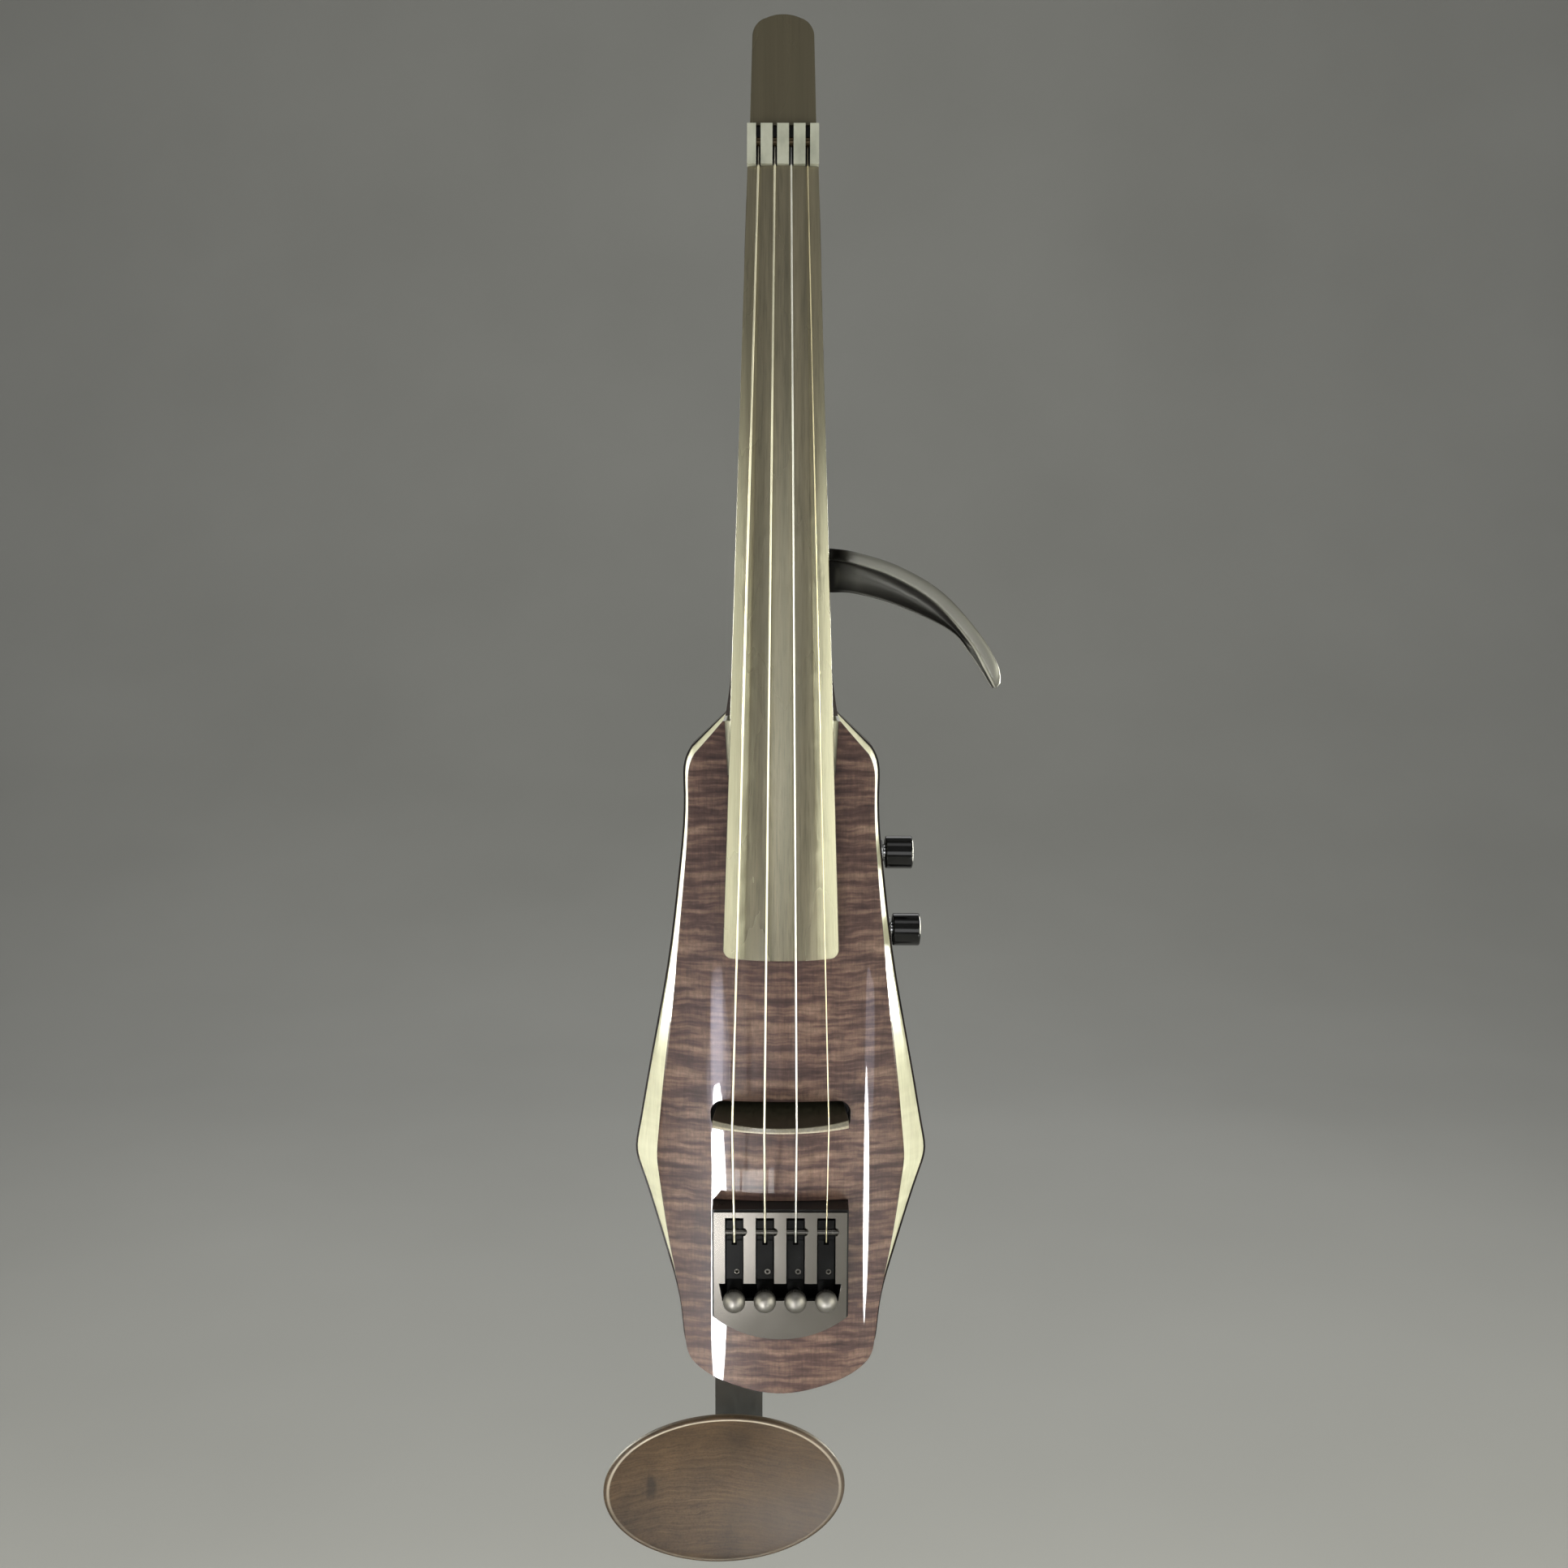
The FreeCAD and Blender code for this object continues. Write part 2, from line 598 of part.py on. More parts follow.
def tail_openings(depth_y):
    """Lever windows, pin reliefs and the cross trench, cut down to a depth."""
    low, high = WINDOW_Z
    tools = []
    for k in range(4):
        x = lane(k, TAIL_PITCH)
        tools.append(box(x - WINDOW_HALF, x + WINDOW_HALF, -30, depth_y, low - 1, high))
        tools.append(rod((x + WINDOW_HALF - 0.2, -30, PIVOT_Z + 0.6), Y, 1.5, 5.3))
    tools.append(extrude_y(polygon([
        V(-TRENCH_HALF - 1.2, 0, low), V(TRENCH_HALF + 1.2, 0, low),
        V(TRENCH_HALF, 0, TRENCH_LOW_Z), V(-TRENCH_HALF, 0, TRENCH_LOW_Z),
    ]), -30, depth_y))
    return tools


def tail_frame():
    """Black tuner body: floor, ribs between the levers and a hollow under the foot."""
    frame = extrude_y(tail_outline(), TAIL_PLATE_Y, TAIL_SEAT_Y)
    for tool in tail_openings(TAIL_FLOOR_Y):
        frame = frame.cut(tool)
    frame = frame.cut(box(-TRENCH_HALF, TRENCH_HALF, -24.3, TAIL_FLOOR_Y, TRENCH_LOW_Z - 5, TRENCH_LOW_Z + 1))
    frame = frame.cut(rod((-21.2, PIVOT_Y, PIVOT_Z), X, PIVOT_R + 0.04, 42.4))
    for k in range(4):
        x = lane(k, TAIL_PITCH)
        frame = frame.cut(rod((x, -30, TUNER_Z), Y, TUNER_STEM_R + 0.35, 10))
        frame = frame.cut(rod((x, -16, TUNER_Z), Y, TUNER_STEM_R + 0.05, 5))
    for x, z in TAIL_SCREWS:
        frame = frame.cut(Part.makeCone(2.6, 1.5, 2.0, V(x, TAIL_FLOOR_Y, z), Y))
        frame = frame.cut(rod((x, TAIL_FLOOR_Y, z), Y, 1.5, 5))
    return frame


def tail_face():
    """Satin face plate over the tuner body."""
    plate = extrude_y(tail_outline(-PLATE_INSET), TAIL_FACE_Y, TAIL_PLATE_Y)
    for tool in tail_openings(-20):
        plate = plate.cut(tool)
    for k in range(4):
        plate = plate.cut(rod((lane(k, TAIL_PITCH), -30, TUNER_Z), Y, TUNER_STEM_R + 0.35, 10))
    return plate.cut(rod((-21.4, PIVOT_Y, PIVOT_Z), X, PIVOT_R + 0.06, 42.8))


def tail_screws():
    """Screws that hold the tuner body down, under the levers."""
    screws = [screw((x, TAIL_FLOOR_Y, z), Y, 1.5, 9.5, 2.6, 2.0) for x, z in TAIL_SCREWS]
    return Part.makeCompound(screws)


def tuning_lever(k):
    """Bell-crank lever that holds the string end and rides on the thumb screw."""
    x = lane(k, TAIL_PITCH)
    profile = Part.Face(polygon([
        V(x - LEVER_HALF, y, z) for y, z in (
            (-25.3, -311.6), (-25.3, -318.6), (-25.7, -319.0), (-25.7, -333.4),
            (-21.9, -335.6), (-21.9, LEVER_TAIL_Z), (-19.4, LEVER_TAIL_Z), (-19.4, -333.0),
            (-20.7, -311.6),
        )
    ]))
    lever = profile.extrude(V(2 * LEVER_HALF, 0, 0))
    lever = lever.cut(rod((x - 5, PIVOT_Y, PIVOT_Z), X, PIVOT_R + 0.06, 10))
    lever = lever.cut(box(x - 0.9, x + 0.9, -28, PIVOT_Y + 1.3, -320.6, -317.4))
    eye = TUNER_STEM_R + 0.3
    lever = lever.cut(box(x - eye, x + eye, -28, -18, TUNER_Z - 0.6, TUNER_Z + 0.6))
    for shift in (-0.6, 0.6):
        lever = lever.cut(rod((x, -28, TUNER_Z + shift), Y, eye, 10))
    return lever.cut(rod((x + 0.9, -28, -330.8), Y, 1.1, 6.2))


def clamp_screw(k):
    """Small screw in a lever's face that grips the string end."""
    x = lane(k, TAIL_PITCH) + 0.9
    body = rod((x, -25.4, -330.8), Y, 1.1, 3.4)
    return body.cut(hexagon(V(x, -25.5, -330.8), Y, 0.6, 1.3))


def tuner_knob(k):
    """Domed thumb knob on a captive threaded stem."""
    x = lane(k, TAIL_PITCH)
    under = TAIL_FACE_Y - 0.35
    r = 4.0
    height = 5.3
    dome_r = 4.3
    head = rod((x, under, TUNER_Z), -Y, r, height)
    head = head.makeChamfer(0.5, [e for e in head.Edges if abs(e.BoundBox.YMax - under) < 0.01 and e.Length > 20])
    head = head.common(Part.makeSphere(dome_r, V(x, under - height + dome_r, TUNER_Z))
                       .fuse(rod((x, under, TUNER_Z), -Y, r + 1, height - dome_r + 1.5)))
    head = knurl(head, (x, under - 2.6, TUNER_Z), Y, r + 0.1, 3.4, 24, 0.3)
    stem = rod((x, under - 0.1, TUNER_Z), Y, TUNER_STEM_R, -12.4 - under + 0.1)
    collar = rod((x, -16.6, TUNER_Z), Y, 1.9, 1.2)
    return fuse([head, stem, collar])


def pivot_pin():
    """Cross pin the four levers turn on."""
    return rod((-21.2, PIVOT_Y, PIVOT_Z), X, PIVOT_R, 42.4)


# --- controls ---------------------------------------------------------------------------------------
def control_knob(face_x, z):
    """Glossy barrel knob with a low dome, hollow behind for the pot's nut."""
    start = face_x + 2.7
    dome_r = 24.0
    knob = rod((start, CONTROL_Y, z), X, KNOB_R, KNOB_LENGTH + 0.5)
    dome = Part.makeSphere(dome_r, V(0, 0, 0))
    dome.rotate(V(0, 0, 0), Z, 90)
    dome.translate(V(start + KNOB_LENGTH + 0.4 - dome_r, CONTROL_Y, z))
    knob = knob.common(dome)
    rims = [e for e in knob.Edges if e.Length > 30 and e.BoundBox.XLength < 0.01]
    knob = knob.makeFillet(0.7, rims)
    knob = knob.cut(rod((start - 1, CONTROL_Y, z), X, 4.9, 3.2))
    knob = knob.cut(rod((start, CONTROL_Y, z), X, SHAFT_R, 8.2))
    return knob.cut(rod((start + 5.4, CONTROL_Y, z), Y, 1.3, 8))


def set_screw(face_x, z):
    """Grub screw that fixes a knob on its shaft."""
    x = face_x + 2.7 + 5.4
    body = rod((x, CONTROL_Y + SHAFT_R, z), Y, 1.3, 3.0)
    return body.cut(hexagon(V(x, CONTROL_Y + SHAFT_R + 1.6, z), Y, 0.75, 1.6))


def pot_shaft(face_x, wall_x, z):
    """Turning shaft of a potentiometer."""
    return rod((wall_x - 5.6, CONTROL_Y, z), X, SHAFT_R, face_x + 2.7 + 8.0 - wall_x + 5.6)


def potentiometer(face_x, wall_x, z, side):
    """Potentiometer case, threaded bushing and three lugs on one side (-1 down, 1 up)."""
    case = rod((wall_x - 8.2, CONTROL_Y, z), X, POT_R, 7.2)
    bushing = rod((wall_x - 1.5, CONTROL_Y, z), X, BUSHING_R, face_x + 2.2 - wall_x + 1.5)
    base = box(wall_x - 3.4, wall_x - 2.0, CONTROL_Y - 3, CONTROL_Y + 3, *sorted((z + 9.5 * side, z + 5 * side)))
    lugs = [
        box(wall_x - 3.0, wall_x - 2.4, CONTROL_Y + y - 0.6, CONTROL_Y + y + 0.6,
            *sorted((z + 12 * side, z + 9 * side)))
        for y in (-2.2, 0, 2.2)
    ]
    pot = fuse([case, bushing, base] + lugs)
    return pot.cut(rod((wall_x - 5.8, CONTROL_Y, z), X, SHAFT_R + 0.05, 30))


def pot_nuts():
    """Hexagon nuts on the bushings, hidden in the knobs."""
    nuts = []
    for name, z, face_x, wall_x in CONTROLS:
        nut = hexagon(V(face_x, CONTROL_Y, z), X, 4.6, 1.8)
        nuts.append(nut.cut(rod((face_x - 1, CONTROL_Y, z), X, BUSHING_R, 4)))
    return Part.makeCompound(nuts)


def cavity_cover():
    """Flush cover over the control cavity."""
    cover = extrude_y(cover_outline(0.2), CAVITY_BACK_Y, BODY_BACK_Y)
    for x, z in COVER_SCREWS:
        cover = cover.cut(Part.makeCone(1.0, 1.8, 0.9, V(x, BODY_BACK_Y - 0.9, z), Y))
        cover = cover.cut(rod((x, 10, z), Y, 1.0, 4))
    return cover


def cover_screws():
    """Countersunk screws at the cover's corners."""
    return Part.makeCompound([screw((x, BODY_BACK_Y, z), -Y, 1.0, 8.0, 1.8, 0.9) for x, z in COVER_SCREWS])


def output_jack():
    """Threaded jack sleeve with its contact barrel inside the body."""
    sleeve = rod((JACK_X, JACK_Y, JACK_END_Z), Z, JACK_SLEEVE_R, 14)
    barrel = rod((JACK_X, JACK_Y, -378.8), Z, 5.2, 26)
    jack = fuse([sleeve, barrel])
    return jack.cut(rod((JACK_X, JACK_Y, JACK_END_Z - 1), Z, JACK_BORE_R, 33))


def jack_nut():
    """Hexagon nut recessed around the jack sleeve."""
    nut = hexagon(V(JACK_X, JACK_Y, -381.6), Z, 6.4, 2.2)
    return nut.cut(rod((JACK_X, JACK_Y, -390), Z, JACK_SLEEVE_R, 20))


def rounded_path(points, bend):
    """Straight runs with tangent arcs at the corners."""
    edges = []
    start = points[0]
    for before, corner, after in zip(points, points[1:], points[2:]):
        u = (before - corner).normalize()
        w = (after - corner).normalize()
        half_angle = math.acos(max(-1, min(1, u.dot(w)))) / 2
        reach = bend / math.tan(half_angle)
        middle = (u + w).normalize() * (bend / math.sin(half_angle) - bend)
        edges.append(Part.makeLine(start, corner + u * reach))
        edges.append(Part.Arc(corner + u * reach, corner + middle, corner + w * reach).toShape())
        start = corner + w * reach
    edges.append(Part.makeLine(start, points[-1]))
    return Part.Wire(edges)


def wire(points):
    """Round wire swept along a rounded path."""
    path = rounded_path(points, 2.0)
    direction = (points[1] - points[0]).normalize()
    profile = Part.Wire(Part.makeCircle(WIRE_R, points[0], direction))
    return path.makePipeShell([profile], True, False)


def signal_wires():
    """Wires from the pickup and the jack to the volume control, and on to the tone control."""
    pocket_z = (POCKET_Z[0] + POCKET_Z[1]) / 2
    lug_x = CONTROLS[0][3] - 2.7
    lug_z = CONTROLS[0][1] - 12.0
    run_z = lug_z - 2.5
    pickup = wire([
        V(JACK_X, POCKET_FLOOR_Y, pocket_z), V(JACK_X, JACK_Y - 1, pocket_z),
        V(JACK_X, JACK_Y - 1, -214), V(14, CONTROL_Y, run_z), V(lug_x, CONTROL_Y, run_z),
        V(lug_x, CONTROL_Y, lug_z),
    ])
    jack_y = CONTROL_Y + 2.2
    jack = wire([
        V(JACK_X, JACK_Y + 1.3, JACK_END_Z + 36.7), V(JACK_X, JACK_Y + 1.3, -220), V(12, jack_y, run_z),
        V(lug_x, jack_y, run_z), V(lug_x, jack_y, lug_z),
    ])
    start = V(lug_x, CONTROL_Y - 2.2, lug_z - 0.15)
    end = V(CONTROLS[1][3] - 2.7, CONTROL_Y - 2.2, CONTROLS[1][1] + 12.15)
    link = Part.makeCylinder(WIRE_R, (end - start).Length, start, end - start)
    return Part.makeCompound([pickup, jack, link])


# --- hand rest -----------------------------------------------------------------------------------------
def rest_region(upper, lower):
    """Plan face between two curves that meet the neck and may meet at the tip."""
    top = curve([V(x, 0, z) for x, z in upper])
    bottom = curve([V(x, 0, z) for x, z in lower])
    edges = [top, bottom, Part.makeLine(V(upper[0][0], 0, upper[0][1]), V(lower[0][0], 0, lower[0][1]))]
    if upper[-1] != lower[-1]:
        middle = V((upper[-1][0] + lower[-1][0]) / 2 + 0.9, 0, (upper[-1][1] + lower[-1][1]) / 2 - 1.3)
        edges.append(Part.Arc(V(upper[-1][0], 0, upper[-1][1]), middle,
                              V(lower[-1][0], 0, lower[-1][1])).toShape())
    return Part.Wire(Part.__sortEdges__(edges))


def hand_rest(neck_solid):
    """Curved arm: a proud front rim over a thinner web, with a tongue in the neck."""
    rim = extrude_y(rest_region(REST_OUTER, REST_INNER), REST_FRONT_Y, REST_BACK_Y)
    web = extrude_y(rest_region(REST_INNER, REST_LOWER), REST_WEB_Y, REST_BACK_Y)
    tongue = box(*TONGUE)
    root = box(14.5, 19.0, TONGUE[2], REST_BACK_Y, REST_LOWER[0][1] + 0.1, REST_OUTER[0][1] - 0.1)
    inside = box(0, 16.4, REST_FRONT_Y, REST_BACK_Y, -90, -70)
    arm = fuse([rim, web, root, tongue]).cut(neck_solid).cut(inside.cut(box(*TONGUE)).cut(root))
    for z in REST_SCREW_ZS:
        arm = arm.cut(rod((REST_SCREW_X, TONGUE[2] + 0.5, z), Y, 1.25, 8))
    return max(arm.Solids, key=lambda solid: solid.Volume)


def hand_rest_screws():
    """Two screws through the back of the neck into the arm's tongue."""
    return Part.makeCompound([
        screw((REST_SCREW_X, REST_SCREW_Y, z), -Y, 1.25, 6.6, 2.3, 1.4) for z in REST_SCREW_ZS
    ])


# --- chin rest ---------------------------------------------------------------------------------------------
def chin_plate():
    """Oval dished plate."""
    y0 = -13.0
    outline = Part.Wire([
        Part.makeLine(V(0, y0, 0), V(24, y0, 0)),
        Part.Arc(V(24, y0, 0), V(35.03, y0 - 2.12, 0), V(44.5, y0 - 8.2, 0)).toShape(),
        Part.Arc(V(44.5, y0 - 8.2, 0), V(43.6, y0 - 10.6, 0), V(41.6, y0 - 10.9, 0)).toShape(),
        Part.Arc(V(41.6, y0 - 10.9, 0), V(22, y0 - 7.6, 0), V(0, y0 - 6.0, 0)).toShape(),
        Part.makeLine(V(0, y0 - 6.0, 0), V(0, y0, 0)),
    ])
    dish = Part.Face(outline).revolve(V(0, 0, 0), Y, 360)
    squash = FreeCAD.Matrix()
    squash.A33 = CHIN_B / CHIN_A
    dish = dish.transformGeometry(squash)
    dish.rotate(V(0, 0, 0), Y, -CHIN_TURN_DEG)
    dish.translate(V(CHIN_X, 0, CHIN_Z))
    for x, z in CHIN_SCREWS:
        dish = dish.cut(rod((x, -12, z), -Y, 1.6, 4.4))
    return dish


def chin_strap():
    """Flat steel strap: slotted leg on the back, a step forward and a pad under the plate."""
    t = STRAP_T
    y = STRAP_Y
    foot = -13.0 + t
    points = [
        V(0, y, -342), V(0, y + t, -342), V(0, y + t, -412.5), V(0, foot, -412.5),
        V(0, foot, -432), V(0, foot - t, -432), V(0, foot - t, -410.0), V(0, y, -410.0),
    ]
    blank = Part.Face(polygon(points)).extrude(V(2 * STRAP_HALF, 0, 0))
    blank.translate(V(STRAP_X - STRAP_HALF, 0, 0))
    bends = []
    for edge in blank.Edges:
        if abs(edge.tangentAt(0).x) < 0.9:
            continue
        p = edge.CenterOfMass
        outer_bend = abs(p.y - (y + t)) < 0.01 and abs(p.z + 412.5) < 0.01
        inner_bend = abs(p.y - y) < 0.01 and abs(p.z + 410.0) < 0.01
        if outer_bend:
            bends.append((edge, 4.0))
        if inner_bend:
            bends.append((edge, 1.6))
    for radius in (4.0, 1.6):
        edges = [e for e in blank.Edges if any(
            abs(e.CenterOfMass.y - b.CenterOfMass.y) < 0.01 and abs(e.CenterOfMass.z - b.CenterOfMass.z) < 0.01
            for b, r in bends if r == radius)]
        blank = blank.makeFillet(radius, edges)
    slot_half = CLAMP_R + 0.2
    low = CLAMP_Z - SLIDE_UP - 1.0
    high = CLAMP_Z + SLIDE_DOWN + 1.0
    blank = blank.cut(box(STRAP_X - slot_half, STRAP_X + slot_half, y - 1, y + t + 1, low, high))
    for z in (low, high):
        blank = blank.cut(rod((STRAP_X, y - 1, z), Y, slot_half, t + 2))
    for x, z in CHIN_SCREWS:
        blank = blank.cut(rod((x, foot + 1, z), -Y, 1.6, t + 2))
    return blank


def chin_screws():
    """Pan-head screws that hold the plate on the strap."""
    screws = []
    for x, z in CHIN_SCREWS:
        top = -13.0 + STRAP_T
        head = rod((x, top, z), Y, 2.8, 1.8)
        shank = rod((x, top + 0.5, z), -Y, 1.6, 0.5 + STRAP_T + 3.2)
        socket = hexagon(V(x, top + 2.0, z), -Y, 1.1, 1.2)
        screws.append(fuse([head, shank]).cut(socket))
    return Part.makeCompound(screws)


def clamp_knob():
    """Knurled thumb screw that locks the chin rest's strap."""
    y = STRAP_Y + STRAP_T + 0.3
    collar = rod((STRAP_X, y, CLAMP_Z), Y, 5.5, 1.2)
    head = rod((STRAP_X, y + 1.0, CLAMP_Z), Y, 8.5, 5.0)
    head = head.makeChamfer(0.6, [e for e in head.Edges if e.Length > 20])
    head = knurl(head, (STRAP_X, y + 0.5, CLAMP_Z), Y, 8.7, 6.0, 30, 0.6)
    stem = rod((STRAP_X, BODY_BACK_Y - 8.5, CLAMP_Z), Y, CLAMP_R, y + 1.0 - BODY_BACK_Y + 8.5)
    return fuse([head, collar, stem])


def clamp_insert():
    """Brass insert in the back of the body for the thumb screw."""
    return ring((STRAP_X, BODY_BACK_Y - 10, CLAMP_Z), Y, 4.0, CLAMP_R + 0.06, 9.9)


def build():
    """All nodes by name."""
    veneer, maple = front_layers()
    neck_solid = neck()
    nodes = {
        "neck": neck_solid,
        "fingerboard": fingerboard(),
        "head_cap": head_cap(),
        "nut_block": nut_block(),
        "string_ball_ends": string_ball_ends(),
        "body_core": body_core(),
        "maple_layer": maple,
        "figured_top": veneer,
        "bridge": bridge(),
        "bridge_pickup": bridge_pickup(),
        "tail_frame": tail_frame(),
        "tail_face_plate": tail_face(),
        "tail_frame_screws": tail_screws(),
        "lever_pivot_pin": pivot_pin(),
        "pot_nuts": pot_nuts(),
        "cavity_cover": cavity_cover(),
        "cavity_cover_screws": cover_screws(),
        "signal_wires": signal_wires(),
        "output_jack": output_jack(),
        "jack_nut": jack_nut(),
        "hand_rest": hand_rest(neck_solid),
        "hand_rest_screws": hand_rest_screws(),
        "chin_rest_plate": chin_plate(),
        "chin_rest_strap": chin_strap(),
        "chin_rest_screws": chin_screws(),
        "chin_rest_clamp_knob": clamp_knob(),
        "clamp_insert": clamp_insert(),
    }
    for k, name in enumerate(STRINGS):
        nodes["string_" + name] = string(k)
        nodes["tuning_lever_" + name] = tuning_lever(k)
        nodes["string_clamp_screw_" + name] = clamp_screw(k)
        nodes["tuner_knob_" + name] = tuner_knob(k)
    for name, z, face_x, wall_x in CONTROLS:
        nodes[name + "_knob"] = control_knob(face_x, z)
        nodes[name + "_set_screw"] = set_screw(face_x, z)
        nodes[name + "_shaft"] = pot_shaft(face_x, wall_x, z)
        nodes[name + "_pot"] = potentiometer(face_x, wall_x, z, -1 if name == "volume" else 1)
    return nodes


os.makedirs("parts", exist_ok=True)
for name, shape in build().items():
    shape.exportStep(os.path.join("parts", name + ".step"))
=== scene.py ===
import math

import bmesh
import bpy
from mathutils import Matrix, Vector


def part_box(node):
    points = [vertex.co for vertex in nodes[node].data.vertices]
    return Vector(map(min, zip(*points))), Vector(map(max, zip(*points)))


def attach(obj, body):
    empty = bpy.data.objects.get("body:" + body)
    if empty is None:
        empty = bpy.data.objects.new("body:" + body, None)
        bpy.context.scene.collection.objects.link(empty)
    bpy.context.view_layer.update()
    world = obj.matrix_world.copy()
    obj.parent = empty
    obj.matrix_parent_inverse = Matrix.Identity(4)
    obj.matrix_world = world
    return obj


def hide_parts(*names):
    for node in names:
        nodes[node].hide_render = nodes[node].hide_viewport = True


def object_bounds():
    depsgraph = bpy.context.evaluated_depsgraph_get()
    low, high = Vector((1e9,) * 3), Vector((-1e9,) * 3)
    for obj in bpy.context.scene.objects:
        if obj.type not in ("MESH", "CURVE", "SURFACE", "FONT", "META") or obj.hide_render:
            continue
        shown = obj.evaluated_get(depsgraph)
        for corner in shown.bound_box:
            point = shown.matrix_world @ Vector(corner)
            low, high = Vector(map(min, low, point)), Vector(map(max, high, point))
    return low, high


STRINGS = ("g", "d", "a", "e")
MM = 1000.0                     # millimetres in a metre
# Painted shade: black put into the pickup slot, the tail recess and the nut slots
PAINTED_SHADE_BLACK = (0.012, 0.010, 0.008)

# Strings and bridge
NUT_PITCH = 5.5                 # mm between the strings at the nut
SLOT_HALF = 0.78                # mm, half the width of a dark nut slot
WOUND = 3                       # the first three strings have a winding
BRIDGE_CROWN_R = 0.0415         # m, radius of the bridge's arched edge

# Arched top, in mm
TOP_R = 160.0
TOP_CENTRE_Y = 142.2

# Playing arm: its edges as (x, z) in mm from root to tip, and the depths of its cross-section
ARM_OUTER = ((17.6, -72.7), (25.7, -73.9), (41.1, -78.7), (56.6, -87.8), (69.8, -101.9),
             (76.6, -113.0), (78.3, -120.2))
ARM_INNER = ((17.6, -76.8), (25.8, -78.3), (39.6, -83.0), (54.2, -91.8), (66.8, -105.4),
             (72.9, -115.6), (76.6, -122.2))
ARM_LOWER = ((17.6, -88.3), (26.0, -88.7), (41.5, -92.9), (60.2, -101.6), (67.9, -110.0),
             (76.3, -122.6))
ARM_ROOT_X = 14.6
ARM_STEPS = 72
ARM_END = 0.10                  # share of the length over which root and tip change depth
ARM_CROWN = 1.3
ARM_BACK_Y = 7.9
ARM_WEB_Y = 3.0
ARM_SCOOP = 3.1

# Chin rest plate: centre, half axes in mm, turn in degrees, and the dark knot's place in m
PLATE = {"x": -20.5, "z": -415.8, "a": 44.5, "b": 28.4, "turn": 3.5}
PLATE_SIDES = 128
DISH_RIM = 0.93                 # share of the radius where the dish meets the rim
DISH_MIDDLE_Y = -19.0
DISH_RISE = 4.45
KNOT_X = -0.0475
KNOT_Z = -0.4165

# Edge treatment of the CAD nodes
SMOOTH_BELOW = 32               # degrees
BEVEL_ABOVE = 34                # degrees
BEVEL_WIDTH = 0.0002
FINE_BEVEL_WIDTH = 0.00012
FINE_NODES = ("figured_top", "maple_layer", "body_core")

# Floor, in m
FLOOR_GAP = 0.15
FLOOR_HALF = 7.0
FLOOR_FRONT_Y = -6.0
SWEEP_START_Y = 1.0
SWEEP_R = 1.4
SWEEP_STEPS = 16
WALL_TOP = 7.0

# Camera and lights
CAMERA = Vector((0.0007, -0.5829, -0.0835))
CAMERA_DOWN = 7.2               # degrees
CAMERA_ROLL = -0.155            # degrees
LENS = 37.27                    # mm
SENSOR = 36                     # mm
MIDDLE = (0, 0, -0.20)
WHITE = (1, 1, 1)
WARM = (1.0, 0.99, 0.85)
LILAC = (0.86, 0.84, 1.0)
STRIP_REACH = 0.42              # m from the top to a strip light
CAMERA_REACH = 0.6              # m from the camera to the top

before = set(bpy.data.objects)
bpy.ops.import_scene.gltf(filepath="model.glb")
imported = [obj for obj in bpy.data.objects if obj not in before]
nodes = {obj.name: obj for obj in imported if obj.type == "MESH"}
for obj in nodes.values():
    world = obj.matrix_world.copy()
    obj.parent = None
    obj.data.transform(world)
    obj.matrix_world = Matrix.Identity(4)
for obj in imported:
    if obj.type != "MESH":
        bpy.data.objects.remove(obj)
cad_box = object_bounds()


